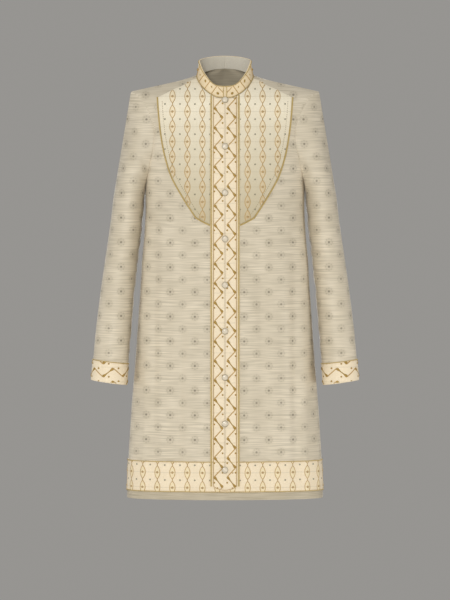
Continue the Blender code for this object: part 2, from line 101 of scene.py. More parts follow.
# %% [markdown]
# ## Camera, light and floor
# The coat is seen straight from the front and nearly level, from far away, so that near and far parts
# keep one size. An orthographic camera would do that too, but a lens of 750 mm at 30 m keeps a trace of
# real perspective. The light is a plain studio's, of soft round area lamps: a grey surround, one
# large soft lamp in front and above, a little to the left, a weak one over the shoulders, two weak ones
# low beside the coat, which lift the lower sleeves, and a soft one behind. The floor lies where a wearer
# would stand.

# %% Camera
VIEW_DISTANCE = 30.0
VIEW_ELEVATION = math.radians(2.0)
VIEW_MIDDLE_Z = -0.5352
VIEW_HEIGHT = 1.44  # metres that the view shows at the coat, from top to bottom
SENSOR = 36.0

scene = bpy.context.scene
scene.view_settings.view_transform = "Standard"


def new_object(name, data):
    made = bpy.data.objects.new(name, data)
    scene.collection.objects.link(made)
    return made


camera = new_object("camera", bpy.data.cameras.new("camera"))
camera.data.sensor_width = SENSOR
camera.data.lens = SENSOR * VIEW_DISTANCE / VIEW_HEIGHT
camera.data.clip_end = 100.0
camera.location = (0.0, -VIEW_DISTANCE * math.cos(VIEW_ELEVATION),
                   VIEW_MIDDLE_Z + VIEW_DISTANCE * math.sin(VIEW_ELEVATION))
camera.rotation_euler = (math.radians(90.0) - VIEW_ELEVATION, 0.0, 0.0)
scene.camera = camera
print("a lens of", round(camera.data.lens), "mm at", VIEW_DISTANCE, "m")

# %% Surround and lamps
SURROUND = "#f4f1ec"
SURROUND_STRENGTH = 0.34
COAT_MIDDLE = Vector((0.0, 0.0, -0.5))
Lamp = namedtuple("Lamp", "name place size power")

LAMPS = [
    Lamp("key", (-0.9, -4.6, 1.5), 1.2, 112.0),
    Lamp("top", (0.0, -0.7, 1.6), 1.6, 6.0),
    Lamp("left", (-1.7, -0.95, -1.2), 0.8, 9.4),
    Lamp("right", (1.7, -0.95, -1.1), 0.8, 11.0),
    Lamp("back", (0.0, 4.2, -0.5), 2.4, 58.0),
]

world = bpy.data.worlds.new("studio")
world.use_nodes = True
surround = world.node_tree.nodes["Background"]
surround.inputs["Color"].default_value = linear(SURROUND)
surround.inputs["Strength"].default_value = SURROUND_STRENGTH
scene.world = world
for lamp in LAMPS:
    placed = new_object(lamp.name, bpy.data.lights.new(lamp.name, "AREA"))
    placed.data.shape = "DISK"
    placed.data.size = lamp.size
    placed.data.energy = lamp.power
    placed.location = lamp.place
    placed.rotation_euler = (COAT_MIDDLE - placed.location).to_track_quat("-Z", "Y").to_euler()
print(len(LAMPS), "lamps, together", sum(lamp.power for lamp in LAMPS), "W")

# %% Floor
FLOOR_Z = -1.49
FLOOR_RADIUS = 3.3


def start_material(name, roughness):
    """A material with its tree and its shader."""
    made = bpy.data.materials.new(name)
    made.use_nodes = True
    shader = made.node_tree.nodes["Principled BSDF"]
    shader.inputs["Roughness"].default_value = roughness
    return made, made.node_tree, shader


shape = bmesh.new()
bmesh.ops.create_circle(shape, cap_ends=True, segments=96, radius=FLOOR_RADIUS)
bmesh.ops.translate(shape, verts=shape.verts, vec=(0.0, 0.0, FLOOR_Z))
floor = new_object("floor", bpy.data.meshes.new("floor"))
shape.to_mesh(floor.data)
shape.free()
# Matt floor paint: an even pale grey that mirrors nothing.
paint, _, shader = start_material("matt_floor_paint", 0.8)
shader.inputs["Base Color"].default_value = linear("#e4e0d9")
floor.data.materials.append(paint)
print("a floor of", FLOOR_RADIUS, "m round at", FLOOR_Z, "m")

# %% [markdown]
# ## The cut of the coat
# The body is a stack of sections, each half a flattened oval. A row of these tables is one section,
# from the neckline or the centre line out to the shoulder, the armhole or the side seam. Cloth could be
# draped on a figure by simulation instead, but a table keeps the garment's own measured form. These are
# the sizes that the solids were made from. The solids have one facet where the cloth here gets many, so
# the rows between two rows are worked out smoothly.

# %% Tables of the upper body
Section = namedtuple("Section", "inner_x inner_z depth outer_x outer_z reach")

FRONT_YOKE = [Section(*row) for row in (
    (68, 0, 0, 225.6, -34.8, 262),
    (65, -8, 17, 219.5, -37.5, 256),
    (59, -18, 35, 211, -43.5, 250),
    (49, -29, 52, 200, -55, 242),
    (35, -40, 67, 188, -75, 232),
    (18, -48, 77, 177, -101, 220),
    (0, -50.5, 81, 168.5, -130, 208),
    (0, -100, 98, 171, -165, 200),
    (0, -150, 110, 178, -200, 195.5),
    (0, -200, 118.5, 185.5, -235, 193),
    (0, -250, 123.5, 191.5, -270, 191.5),
)]
BACK_YOKE = [Section(*row) for row in (
    (68, 0, 0, 225.6, -34.8, 262),
    (64, 3.5, 17, 221, -39.5, 262),
    (55, 9, 34, 215, -50, 262),
    (40, 14.5, 49, 206, -66, 260),
    (21, 18.5, 58, 197, -88, 256),
    (0, 20, 62, 189, -115, 246),
    (0, -50, 92, 183, -150, 216),
    (0, -120, 109, 182.5, -188, 202),
    (0, -190, 116, 187, -230, 194.5),
    (0, -250, 115, 191.5, -270, 191.5),
)]
print(len(FRONT_YOKE), "sections in front and", len(BACK_YOKE), "behind")

# %% Tables of the skirt and its folds
BAND_TOP = -916.0
BAND_FOOT = -990.0
HEM_Z = -1008.0

Level = namedtuple("Level", "z half_width front back")

SKIRT = [Level(*row) for row in (
    (-315, 190.5, 126, 111),
    (-375, 193.4, 126.5, 104),
    (-440, 199, 126, 99),
    (-505, 202.4, 127, 100),
    (-575, 207.8, 130.5, 108.5),
    (-645, 212.6, 135, 119),
    (-715, 217.8, 140, 127),
    (-785, 223.6, 145.5, 134),
    (-852, 228, 151, 141),
    (BAND_TOP, 231.8, 155.5, 147.5),
    (BAND_FOOT, 234.8, 161, 154.5),
    (HEM_Z, 235.2, 162.5, 156),
)]

Fold = namedtuple("Fold", "top_x top_z hem_x half_width depth")

FRONT_FOLDS = [Fold(*row) for row in (
    (-62, -400, -106, 30, 7),
    (-150, -290, -176, 26, 7),
    (44, -360, 96, 30, 7.5),
    (150, -380, 172, 28, 8),
)]
BACK_FOLDS = [Fold(*row) for row in (
    (-34, -470, -48, 32, 7),
    (-118, -410, -150, 30, 8),
    (60, -440, 84, 34, 8),
    (146, -520, 174, 28, 6),
)]
print("the hem is", 2 * SKIRT[-1].half_width, "mm wide")

# %% [markdown]
# ## From sections to a grid of points
# A smooth curve through table rows must not swing past them, or rows would cross at the neckline, where
# they lie close together. So its slope at each row is the harmonic mean of the slopes on both sides,
# and zero where they disagree, which never overshoots.

# %% From table rows to points
ROUNDNESS = 2.4  # 2 would make each section an ellipse, more makes it squarer
EVEN_SHARES = np.linspace(0.0, 0.968, 46)  # columns across a section
EDGE_SHARES = (0.982, 0.991, 0.996, 1.0)  # and the last ones, close to the seam
COLUMN_SHARES = np.concatenate([EVEN_SHARES, EDGE_SHARES])


def unit(vectors):
    return vectors / np.linalg.norm(vectors, axis=-1, keepdims=True).clip(1e-9)


def smooth_rows(rows, steps):
    """Table rows with smooth rows between them, which never swing past the table's own."""
    values = np.array(rows, dtype=float)
    rise = np.diff(values, axis=0)
    before = np.vstack([rise[:1], rise])
    after = np.vstack([rise, rise[-1:]])
    same_way = before * after > 0
    slope = np.where(same_way, 2 * before * after / np.where(same_way, before + after, 1.0), 0.0)
    fine = []
    for a, b, slope_a, slope_b in zip(values, values[1:], slope, slope[1:]):
        for t in np.arange(steps) / steps:
            fine.append(a * (1 + 2 * t) * (1 - t) ** 2 + slope_a * t * (1 - t) ** 2
                        + b * t * t * (3 - 2 * t) + slope_b * t * t * (t - 1))
    fine.append(values[-1])
    return np.array(fine)


def section_points(section, facing):
    """Points along one section, closer together where it turns round to the side."""
    half = ROUNDNESS / 2
    start = math.asin(min(1.0, max(0.0, section.inner_x) / section.reach) ** half)
    end = math.asin(min(1.0, section.outer_x / section.reach) ** half)
    turn = start + (end - start) * COLUMN_SHARES
    x = section.reach * np.sin(turn) ** (1 / half)
    across = (x - section.inner_x) / (section.outer_x - section.inner_x)
    z = section.inner_z + (section.outer_z - section.inner_z) * across
    deepest = section.depth / math.cos(start) ** (1 / half)
    y = facing * deepest * np.clip(np.cos(turn), 0.0, 1.0) ** (1 / half)
    return np.column_stack([x, y, z])


print("each section gets", len(COLUMN_SHARES), "points")

# %% Folds, and the bend below the neckline
FOLD_GROWTH = 1.3  # how fast a fold deepens towards the hem
EASE_ROUNDS = 30  # how often the cloth below the neckline is eased
EASE_EDGE = 0.6  # how fast the easing grows away from the edges


def press_folds(grid, folds, facing):
    """The largest soft folds, which the solids have too."""
    x, y, z = grid[..., 0], grid[..., 1], grid[..., 2]
    flatness = np.abs(y) / np.abs(y).max(axis=1, keepdims=True).clip(1.0)
    for fold in folds:
        down = np.clip((fold.top_z - z) / (fold.top_z - HEM_Z), 0.0, 1.0)
        middle = fold.top_x + (fold.hem_x - fold.top_x) * down
        trough = np.exp(-((x - middle) / fold.half_width) ** 2)
        y -= facing * fold.depth * trough * down ** FOLD_GROWTH * flatness


def ease(grid, yoke_rows):
    """Let the cloth span the bend below the neckline, as cloth does. All its edges stay in place."""
    down = np.sin(np.linspace(0.0, math.pi, yoke_rows + 1))
    across = np.sin(np.linspace(0.0, math.pi, grid.shape[1])).clip(0.0, EASE_EDGE) / EASE_EDGE
    share = (down[:, None] * across)[1:-1, :, None]
    part = grid[:yoke_rows + 1]
    for _ in range(EASE_ROUNDS):
        part[1:-1] += 0.5 * share * ((part[:-2] + part[2:]) / 2 - part[1:-1])


print(len(FRONT_FOLDS) + len(BACK_FOLDS), "folds")

# %% Half panels
FRONT = -1
BACK = 1
SIDES = {"left": 1, "right": -1}  # the wearer's left side is at +x
ROW_STEPS = 6  # fine rows for each row of a table
FRONT_SIDE = (len(FRONT_YOKE) - 1) * ROW_STEPS  # the row where the side seam starts
BACK_SIDE = (len(BACK_YOKE) - 1) * ROW_STEPS
FRONT_CENTRE = sum(row.inner_x > 0 for row in FRONT_YOKE) * ROW_STEPS  # and the centre line
BACK_CENTRE = sum(row.inner_x > 0 for row in BACK_YOKE) * ROW_STEPS


def half_panel(yoke, facing, side, folds):
    """Grid of one half of the front or back, from the neck to the hem."""
    rows = list(yoke)
    for level in SKIRT:
        depth = level.front if facing == FRONT else level.back
        rows.append(Section(0.0, level.z, depth, level.half_width, level.z, level.half_width))
    grid = np.array([section_points(Section(*row), facing) for row in smooth_rows(rows, ROW_STEPS)])
    grid[..., 0] *= side
    press_folds(grid, folds, facing)
    ease(grid, (len(yoke) - 1) * ROW_STEPS)
    return grid


def grid_normals(grid, middle):
    """Unit normals of a grid of points, pointing away from a middle."""
    normals = unit(np.cross(np.gradient(grid, axis=0), np.gradient(grid, axis=1)))
    return -normals if np.sum(normals * (grid - middle)) < 0 else normals


def panel_normals(grid):
    """Normals that point away from the middle of the body."""
    return grid_normals(grid, grid.mean(axis=(0, 1)) * [1.0, 0.0, 1.0])


fronts = {side: half_panel(FRONT_YOKE, FRONT, side, FRONT_FOLDS) for side in SIDES.values()}
backs = {side: half_panel(BACK_YOKE, BACK, side, BACK_FOLDS) for side in SIDES.values()}
for side in SIDES.values():
    backs[side][BACK_SIDE:, -1] = fronts[side][FRONT_SIDE:, -1]
print("a half front has", fronts[1].shape[0], "rows of", fronts[1].shape[1], "points")

# %% [markdown]
# ## The sleeves
# A sleeve is set into the armhole. Its cap leaves the seam sideways and turns down the arm, and below
# that it is a tube of flattened rings that tapers to the cuff. A curve with a bevel would make a tube
# too, but it could not start on the armhole's own points. So each of the armhole's points starts one
# column, which a smooth curve leads into the rings. The first and last column are the seam under the
# arm, where the real cloth is joined.

# %% Table of the sleeves
Ring = namedtuple("Ring", "outer_x outer_z inner_x inner_z middle_y half_depth")

SLEEVE_RINGS = [Ring(*row) for row in (
    (268, -292, 193.8, -300, 4, 67),
    (274, -345, 198.4, -354, 3, 66),
    (281.5, -397, 204.6, -406, 1, 64.5),
    (289.2, -449, 210.4, -459, -3, 62.5),
    (296.6, -501, 216.6, -511, -9, 60.5),
    (303.2, -553, 221.2, -563, -16, 58),
    (310.2, -612, 226, -622, -26, 54.5),
    (315.8, -674.6, 231.6, -684.7, -39, 50.5),
    (320.4, -724.8, 235.2, -736.8, -50, 47.5),
)]
print(len(SLEEVE_RINGS), "rings, the upper one", 2 * SLEEVE_RINGS[0].half_depth, "mm deep")

# %% Grids of the sleeves
CAP_FULLNESS = 0.7  # how far the cap stands out before it turns down
CAP_SHARES = np.concatenate([[0.0, 0.008, 0.02, 0.04], np.linspace(0.07, 0.97, 31)])
RING_STEPS = 8  # fine rings for each ring of the table
CUFF_ROWS = RING_STEPS + 1


def length_shares(line):
    """Share of a line's length at each of its points, from 0 to 1."""
    lengths = np.linalg.norm(np.diff(line, axis=0), axis=1)
    return np.concatenate([[0.0], np.cumsum(lengths)]) / lengths.sum()


def armhole(front, back):
    """Points round the armhole: from the underarm up the front to the shoulder tip, down the back."""
    return np.vstack([front[FRONT_SIDE::-1, -1], back[1:BACK_SIDE + 1, -1]])


def armhole_angles(loop):
    """Where each armhole point lies round the sleeve: 180 under the arm, 90 in front, 0 outside."""
    up_front = 1 - length_shares(loop[:FRONT_SIDE + 1])
    down_back = -length_shares(loop[FRONT_SIDE:])
    return np.concatenate([up_front, down_back[1:]]) * math.pi


def sleeve_ring(ring, angles, side):
    outer = np.array([ring.outer_x * side, ring.middle_y, ring.outer_z])
    inner = np.array([ring.inner_x * side, ring.middle_y, ring.inner_z])
    forward = np.array([0.0, -ring.half_depth, 0.0])
    return ((outer + inner) / 2 + np.cos(angles)[:, None] * (outer - inner) / 2
            + np.sin(angles)[:, None] * forward)


def sleeve_grid(front, back, side):
    loop = armhole(front, back)
    angles = armhole_angles(loop)
    rings = [sleeve_ring(Ring(*row), angles, side) for row in smooth_rows(SLEEVE_RINGS, RING_STEPS)]
    top = rings[0]
    down = unit(rings[RING_STEPS] - top)
    rise = (loop[:, 2] - top[:, 2]) / -down[:, 2]
    above_top = top - down * rise[:, None]
    halfway = (loop + top) / 2
    control = halfway + CAP_FULLNESS * np.abs(np.sin(angles))[:, None] * (above_top - halfway)
    cap = [(1 - t) ** 2 * loop + 2 * t * (1 - t) * control + t ** 2 * top for t in CAP_SHARES]
    return np.array(cap + rings), angles


sleeves = {}
for side in SIDES.values():
    sleeves[side], sleeve_angles = sleeve_grid(fronts[side], backs[side], side)
print("a sleeve has", sleeves[1].shape[0], "rings of", sleeves[1].shape[1], "points")

# %% [markdown]
# ## Creases
# Cloth that is worn never hangs quite smooth. A cloth simulation would find creases of its own, so
# each row of these tables is one crease, drawn as a line seen from the front or the back: a
# soft trough with a low ridge on both sides, which comes and goes along its length. Round a sleeve a
# crease is placed by its height and its angle. Creases fade out before they reach a seam.

# %% Tables of the creases of the body
Crease = namedtuple("Crease", "top_x top_z low_x low_z half_width depth")

FRONT_CREASES = [Crease(*row) for row in (
    (-183, -262, -128, -352, 9, 2.6),
    (-186, -330, -142, -398, 8, 1.8),
    (-196, -470, -138, -520, 11, 1.7),
    (-168, -300, -176, -1040, 13, 4.2),
    (-140, -470, -146, -915, 9, 1.6),
    (-74, -400, -92, -1040, 16, 4),
    (-120, -640, -131, -1040, 9, 1.8),
    (-200, -600, -208, -1040, 10, 2.6),
    (184, -268, 134, -340, 9, 2.4),
    (186, -345, 138, -402, 8, 1.7),
    (197, -492, 144, -534, 11, 1.8),
    (166, -300, 177, -1040, 14, 4.6),
    (134, -500, 139, -900, 9, 1.6),
    (80, -380, 104, -1040, 16, 4.2),
    (130, -600, 136, -1040, 11, 2),
    (203, -560, 210, -1040, 10, 2.8),
)]
BACK_CREASES = [Crease(*row) for row in (
    (-180, -190, -92, -262, 10, 2.6),
    (-184, -250, -104, -318, 9, 2),
    (-150, -420, -40, -452, 12, 2.2),
    (-172, -480, -84, -496, 10, 1.6),
    (-92, -560, -98, -1040, 13, 3),
    (-186, -540, -200, -1040, 12, 3.2),
    (-8, -540, -6, -1040, 14, 3),
    (181, -182, 96, -250, 10, 2.4),
    (185, -244, 112, -300, 9, 2),
    (158, -408, 52, -446, 12, 2.2),
    (34, -590, 38, -1040, 12, 2.6),
    (122, -600, 128, -1040, 13, 3),
    (196, -560, 206, -1040, 11, 3),
)]
print(len(FRONT_CREASES), "creases in front,", len(BACK_CREASES), "behind")

# %% Creases of the body
RIDGE_SHARE = 0.4  # height of the ridges beside a trough, against its depth
RIDGE_PLACE = 2.0  # how far they are from its middle, in half widths
CREASE_ENDS = 0.8  # below 1 a crease keeps more of its depth towards its ends
FADE_SHARE = 0.1  # share of a row over which creases fade towards its seam
NECK_FADE = 120.0  # height below the shoulder over which they grow


def trough(distance, half_width):
    """Profile across a crease: 1 deep in its middle, with low ridges beside it."""
    away = np.abs(distance) / half_width
    return np.exp(-away ** 2) - RIDGE_SHARE * np.exp(-(away - RIDGE_PLACE) ** 2)


def crease_depths(x, z, creases):
    depths = np.zeros_like(x)
    for crease in creases:
        run = np.array([crease.low_x - crease.top_x, crease.low_z - crease.top_z])
        length = np.linalg.norm(run)
        along = ((x - crease.top_x) * run[0] + (z - crease.top_z) * run[1]) / length ** 2
        across = ((x - crease.top_x) * run[1] - (z - crease.top_z) * run[0]) / length
        ends = np.sin(math.pi * np.clip(along, 0.0, 1.0)) ** CREASE_ENDS
        depths += crease.depth * ends * trough(across, crease.half_width)
    return depths


def eased(values):
    """Values held between 0 and 1, with a smooth start and end."""
    t = np.clip(values, 0.0, 1.0)
    return t * t * (3 - 2 * t)


def crease_panel(grid, creases):
    """Press the creases into a half panel."""
    normals = panel_normals(grid)
    depths = crease_depths(grid[..., 0], grid[..., 2], creases) * eased((1 - COLUMN_SHARES) / FADE_SHARE)
    depths *= np.clip((grid[..., 2].max() - grid[..., 2]) / NECK_FADE, 0.0, 1.0)
    grid -= normals * depths[..., None]


for side in SIDES.values():
    crease_panel(fronts[side], FRONT_CREASES)
    crease_panel(backs[side], BACK_CREASES)
print("the creased front reaches y", round(fronts[1][..., 1].min(), 1), "mm")

# %% Creases of the sleeves
Pucker = namedtuple("Pucker", "z angle spread slope half_width depth")

SLEEVE_PUCKERS = [Pucker(*row) for row in (
    (-205, 140, 52, -0.55, 9, 2),
    (-240, 150, 58, -0.42, 8, 1.6),
    (-262, 214, 56, 0.40, 9, 1.8),
    (-330, 165, 64, -0.30, 10, 1.2),
    (-412, 150, 60, 0.22, 10, 1.4),
    (-440, 196, 62, -0.25, 10, 1.6),
    (-468, 148, 66, 0.30, 9, 1.4),
    (-500, 205, 56, 0.22, 11, 1.2),
    (-560, 120, 50, -0.20, 12, 1.1),
    (-618, 200, 60, 0.24, 11, 1.1),
    (-648, 90, 44, 0.18, 9, 0.9),
)]
SLEEVE_FADE = 30.0  # height over which creases fade above the cuff and below the armhole
SLEEVE_SMOOTH = 0.3  # share of it that stays smooth below the armhole
SLEEVE_SHIFTS = (0.0, -14.0)  # the right sleeve's creases lie lower, so that the two differ


def tube_normals(grid):
    """Normals that point away from the middle of each ring."""
    return grid_normals(grid, grid.mean(axis=1, keepdims=True))


def crease_sleeve(grid, angles, shift):
    """Press the creases round a sleeve, all moved up or down by a shift."""
    normals = tube_normals(grid)
    degrees = np.degrees(angles) % 360.0
    depths = np.zeros(grid.shape[:2])
    for pucker in SLEEVE_PUCKERS:
        turn = (degrees - pucker.angle + 180.0) % 360.0 - 180.0
        ends = np.exp(-(turn / pucker.spread) ** 4)
        height = grid[..., 2] - (pucker.z + shift) - pucker.slope * turn
        depths += pucker.depth * ends * trough(height, pucker.half_width)
    above_cuff = grid[..., 2] - grid[-CUFF_ROWS, :, 2]
    depths *= np.clip(above_cuff / SLEEVE_FADE, 0.0, 1.0)
    below_seam = np.linalg.norm(grid - grid[0], axis=-1)
    depths *= np.clip(below_seam / SLEEVE_FADE - SLEEVE_SMOOTH, 0.0, 1.0)
    grid -= normals * depths[..., None]


for side, shift in zip(SIDES.values(), SLEEVE_SHIFTS):
    crease_sleeve(sleeves[side], sleeve_angles, shift)
print(len(SLEEVE_PUCKERS), "creases round each sleeve")

# %% [markdown]
# ## Seams
# At a seam both pieces of cloth turn inwards, and the thread pulls them into a narrow groove. A bump
# in the material could only shade it, so the points near the seam are moved in. The two edges share
# their points, so the seam stays closed.

# %% Draw the cloth in at its seams
SEAM_DEPTH = 1.0  # how deep the cloth is drawn in at a seam
SEAM_WIDTH = 2.6


def draw_in(grid, seam_at, direction):
    """Lower a grid towards an edge: seam_at is the edge's points for each grid point."""
    distance = np.linalg.norm(grid - seam_at, axis=-1)
    grid += direction * (SEAM_DEPTH * np.exp(-(distance / SEAM_WIDTH) ** 2))[..., None]


for side in SIDES.values():
    front, back, sleeve = fronts[side], backs[side], sleeves[side]
    front_normals, back_normals = panel_normals(front), panel_normals(back)
    seam_normals = unit(armhole(front_normals, back_normals) + tube_normals(sleeve)[0])
    seam_normals[0] = seam_normals[-1] = unit(seam_normals[0] + seam_normals[-1])
    side_normals = unit(front_normals[FRONT_SIDE:, -1] + back_normals[BACK_SIDE:, -1])
    side_normals[0] = seam_normals[0]
    front_edge = np.vstack([seam_normals[FRONT_SIDE::-1], side_normals[1:]])
    back_edge = np.vstack([seam_normals[FRONT_SIDE:], side_normals[1:]])
    draw_in(front, front[:, -1:].copy(), -front_edge[:, None])
    draw_in(back, back[:, -1:].copy(), -back_edge[:, None])
    draw_in(sleeve, sleeve[:1].copy(), -seam_normals[None])
print("seams drawn in by", SEAM_DEPTH, "mm")

# %% [markdown]
# ## Flat coordinates
# A weave and an embroidery are laid out on flat cloth, so each piece needs flat coordinates: how far
# across and how far up, in real millimetres. Blender's own unwrapping would turn and scale each piece
# as it likes, so they are worked out here. Measured strictly along the cloth, motifs would crowd
# together as the sides turn away. An embroiderer spaces them a little wider there, so the flat
# coordinate follows the width seen from the front, but never less than a set share of the cloth's own
# length. On the back it runs the other way, so that a motif never comes out mirrored.

# %% Flat coordinates of the body
LEAST_ACROSS = 0.8  # the least flat length of a step, against its true length
LEAST_UP = 0.62


def running(seen, true, least, axis):
    """Distance along a grid's axis: the seen length, or a share of the true one if that is more."""
    steps = np.maximum(np.abs(seen), least * true)
    zero = np.zeros_like(np.take(steps, [0], axis=axis))
    return np.concatenate([zero, np.cumsum(steps, axis=axis)], axis=axis)


def steps_along(grid, axis, other):
    """Seen and true lengths of a grid's steps: one coordinate alone, and together with depth."""
    step = np.diff(grid, axis=axis)
    return step[..., other], np.hypot(step[..., other], step[..., 1])


def flat_up(grid):
    """Height on the flat cloth, which is the real height at the lower edge."""
    up = running(*steps_along(grid[::-1], 0, 2), LEAST_UP, 0)[::-1]
    return up + grid[-1:, :, 2]


def flat_body(grid, side, facing):
    across = running(*steps_along(grid, 1, 0), LEAST_ACROSS, 1) + np.abs(grid[:, :1, 0])
    return np.dstack([across * side * -facing, flat_up(grid)])


print("half the hem is", round(abs(flat_body(fronts[1], 1, FRONT)[-1, -1, 0])), "mm across when flat")

# %% Flat coordinates of the sleeves
SLEEVE_SHIFT = 0.4  # share of the back armhole over which the flat cap is brought in line


def flat_sleeve(grid, side):
    """Behind, the width is measured square to the lines down the arm, or the cap would shear it."""
    down = unit(np.gradient(grid, axis=0))
    down = unit(down[:, 1:] + down[:, :-1])
    step = np.diff(grid, axis=1)
    square = step - down * np.sum(step * down, axis=-1, keepdims=True)
    seen, true = steps_along(grid, 1, 0)
    behind = np.arange(seen.shape[1]) >= FRONT_SIDE
    across = running(np.where(behind, square[..., 0], seen),
                     np.where(behind, np.linalg.norm(square, axis=-1), true), LEAST_ACROSS, 1)
    front_line = np.argmin(np.abs(sleeve_angles - math.pi / 2))
    across -= across[:, front_line:front_line + 1]
    across += np.abs(grid[:, front_line:front_line + 1, 0])
    cap_rows = len(CAP_SHARES)
    behind = eased((np.arange(across.shape[1]) - FRONT_SIDE) / (SLEEVE_SHIFT * BACK_SIDE))
    shift = across[cap_rows, FRONT_SIDE] - across[:cap_rows, FRONT_SIDE]
    across[:cap_rows] += shift[:, None] * behind
    return np.dstack([across * side, flat_up(grid)])


print("a cuff is", round(np.ptp(flat_sleeve(sleeves[1], 1)[-1, :, 0])), "mm round when flat")

# %% Cloth with its normals and flat coordinates
Cloth = namedtuple("Cloth", "points out flat")


def shared_centre(left, right, first_row):
    """Make the normals of two halves agree along the centre line that they share."""
    shared = unit(left.out[first_row:, 0] + right.out[first_row:, 0])
    left.out[first_row:, 0] = shared
    right.out[first_row:, 0] = shared


front_cloth, back_cloth, sleeve_cloth = {}, {}, {}
for side in SIDES.values():
    front, back, sleeve = fronts[side], backs[side], sleeves[side]
    front_cloth[side] = Cloth(front, panel_normals(front), flat_body(front, side, FRONT))
    back_cloth[side] = Cloth(back, panel_normals(back), flat_body(back, side, BACK))
    sleeve_cloth[side] = Cloth(sleeve, tube_normals(sleeve), flat_sleeve(sleeve, side))
shared_centre(front_cloth[1], front_cloth[-1], FRONT_CENTRE)
shared_centre(back_cloth[1], back_cloth[-1], BACK_CENTRE)
print(len(front_cloth) + len(back_cloth) + len(sleeve_cloth), "cloths with", Cloth._fields)

# %% [markdown]
# ## From grids to cloth
# A piece of cloth starts as one open surface. Its flat coordinates are stored as a UV map called Cut,
# and its outward direction as an attribute called Out, because the threads that are laid on it later
# read both. Only at the end does a Solidify modifier give it its thickness. The size of its cut is
# measured here too, while it is still one surface.

# %% Make a mesh from grids
WELD = 0.02  # points closer than this are one


def surface(name, cloths):
    """An object made of one or more grids, welded where they meet, facing outwards."""
    points, outs, faces, flats = [], [], [], []
    for cloth in cloths:
        rows, columns = cloth.points.shape[:2]
        first = len(points)
        points.extend(cloth.points.reshape(-1, 3) * MM)
        outs.extend(cloth.out.reshape(-1, 3))
        number = first + np.arange(rows * columns).reshape(rows, columns)
        corners = np.stack([number[:-1, :-1], number[1:, :-1], number[1:, 1:], number[:-1, 1:]], -1)
        p = cloth.points
        turned = np.cross(p[1:, :-1] - p[:-1, :-1], p[:-1, 1:] - p[:-1, :-1])
        if np.sum(turned * cloth.out[:-1, :-1]) < 0:
            corners = corners[..., ::-1]
        faces.extend(corners.reshape(-1, 4).tolist())
        flats.append(cloth.flat.reshape(-1, 2)[corners.reshape(-1) - first])
    mesh = bpy.data.meshes.new(name)
    mesh.from_pydata([tuple(p) for p in points], [], faces)
    cut = mesh.uv_layers.new(name="Cut")
    cut.uv.foreach_set("vector", (np.concatenate(flats) * MM).ravel())
    out = mesh.attributes.new("Out", "FLOAT_VECTOR", "POINT")
    out.data.foreach_set("vector", np.array(outs).ravel())
    shape = bmesh.new()
    shape.from_mesh(mesh)
    bmesh.ops.remove_doubles(shape, verts=shape.verts, dist=WELD * MM)
    shape.to_mesh(mesh)
    shape.free()
    mesh.shade_smooth()
    return new_object(name, mesh)


print("points less than", WELD, "mm apart are welded")

# %% The cut of each piece
NARROWEST_CUT = 10.0  # a strip is cut at least this wide, and its edges are turned under
UPRIGHT = slice(12, None)  # columns of a panel that are clear of its neckline
ALL = slice(None)
pieces = {}  # the piece of cloth that stands for each solid
cuts = {}  # and its flat size


def line_length(points):
    return np.linalg.norm(np.diff(points, axis=0), axis=1).sum()


def cut_size(cloths, level, upright):
    """Width and length of the flat piece of cloth, in metres: the widest of its level rows and the
    longest of its upright columns. Grids that lie side by side share their rows."""
    grids = [cloth.points for cloth in cloths]
    width = max(sum(line_length(row) for row in rows) for rows in zip(*[g[level] for g in grids]))
    length = max(line_length(column) for g in grids for column in g[:, upright].transpose(1, 0, 2))
    return max(width, NARROWEST_CUT) * MM, length * MM


def cut_out(node, name, cloths, level=ALL, upright=ALL):
    """Make the piece that will stand for a solid, and note the size of its cut."""
    pieces[node] = surface(name, cloths)
    cuts[node] = cut_size(cloths, level, upright)


for name, side in SIDES.items():
    cut_out("front_" + name, "front_" + name + "_silk", [front_cloth[side]],
            slice(FRONT_CENTRE, None), UPRIGHT)
    cut_out("sleeve_" + name, "sleeve_" + name + "_silk", [sleeve_cloth[side]],
            slice(len(CAP_SHARES), None))
cut_out("back", "back_silk", list(back_cloth.values()), slice(BACK_CENTRE, None), UPRIGHT)
for name, size in cuts.items():
    print(name, "is cut", round(size[0], 3), "m wide and", round(size[1], 3), "m long")

# %% [markdown]
# ## Trims on the fronts
# The bibs and the placket are separate pieces of embroidered silk sewn on the fronts. A Shrinkwrap
# modifier could press them on, but they also need the flat coordinates of the cloth below them. So each
# is laid out as a flat grid, as its outline is seen from the front, and dropped onto the fronts along
# the line of sight, which is what a ray cast does. The hem band and the cuffs follow whole rows of the
# cloth below, so they are made from those rows.

# %% The fronts as triangles
rows, columns = fronts[1].shape[:2]
fabric = Cloth(*[np.concatenate([part.reshape(rows * columns, -1) for part in both])
                 for both in zip(*front_cloth.values())])
fabric_triangles = []
for number in np.arange(2 * rows * columns).reshape(2, rows, columns):
    a, b, c, d = number[:-1, :-1], number[:-1, 1:], number[1:, 1:], number[1:, :-1]
    fabric_triangles += [np.stack(corners, -1).reshape(-1, 3) for corners in ((a, b, c), (a, c, d))]
fabric_triangles = np.concatenate(fabric_triangles)
fabric_tree = BVHTree.FromPolygons(fabric.points.tolist(), fabric_triangles.tolist())
print(len(fabric_triangles), "triangles to drop trims onto")

# %% Drop flat places onto the fronts
CENTRE_NUDGE = 0.02  # a ray just beside the centre front, where the two fronts meet
RAY_START = -1000.0  # rays start well in front of the coat
RAY_PASSED = 1.0  # and one that hits behind this has passed over the shoulder
SHOULDER_X = (60.0, 160.0)  # its place is then sought at a depth that
SHOULDER_Y = (-20.0, 0.0)  # changes from the neck to the arm


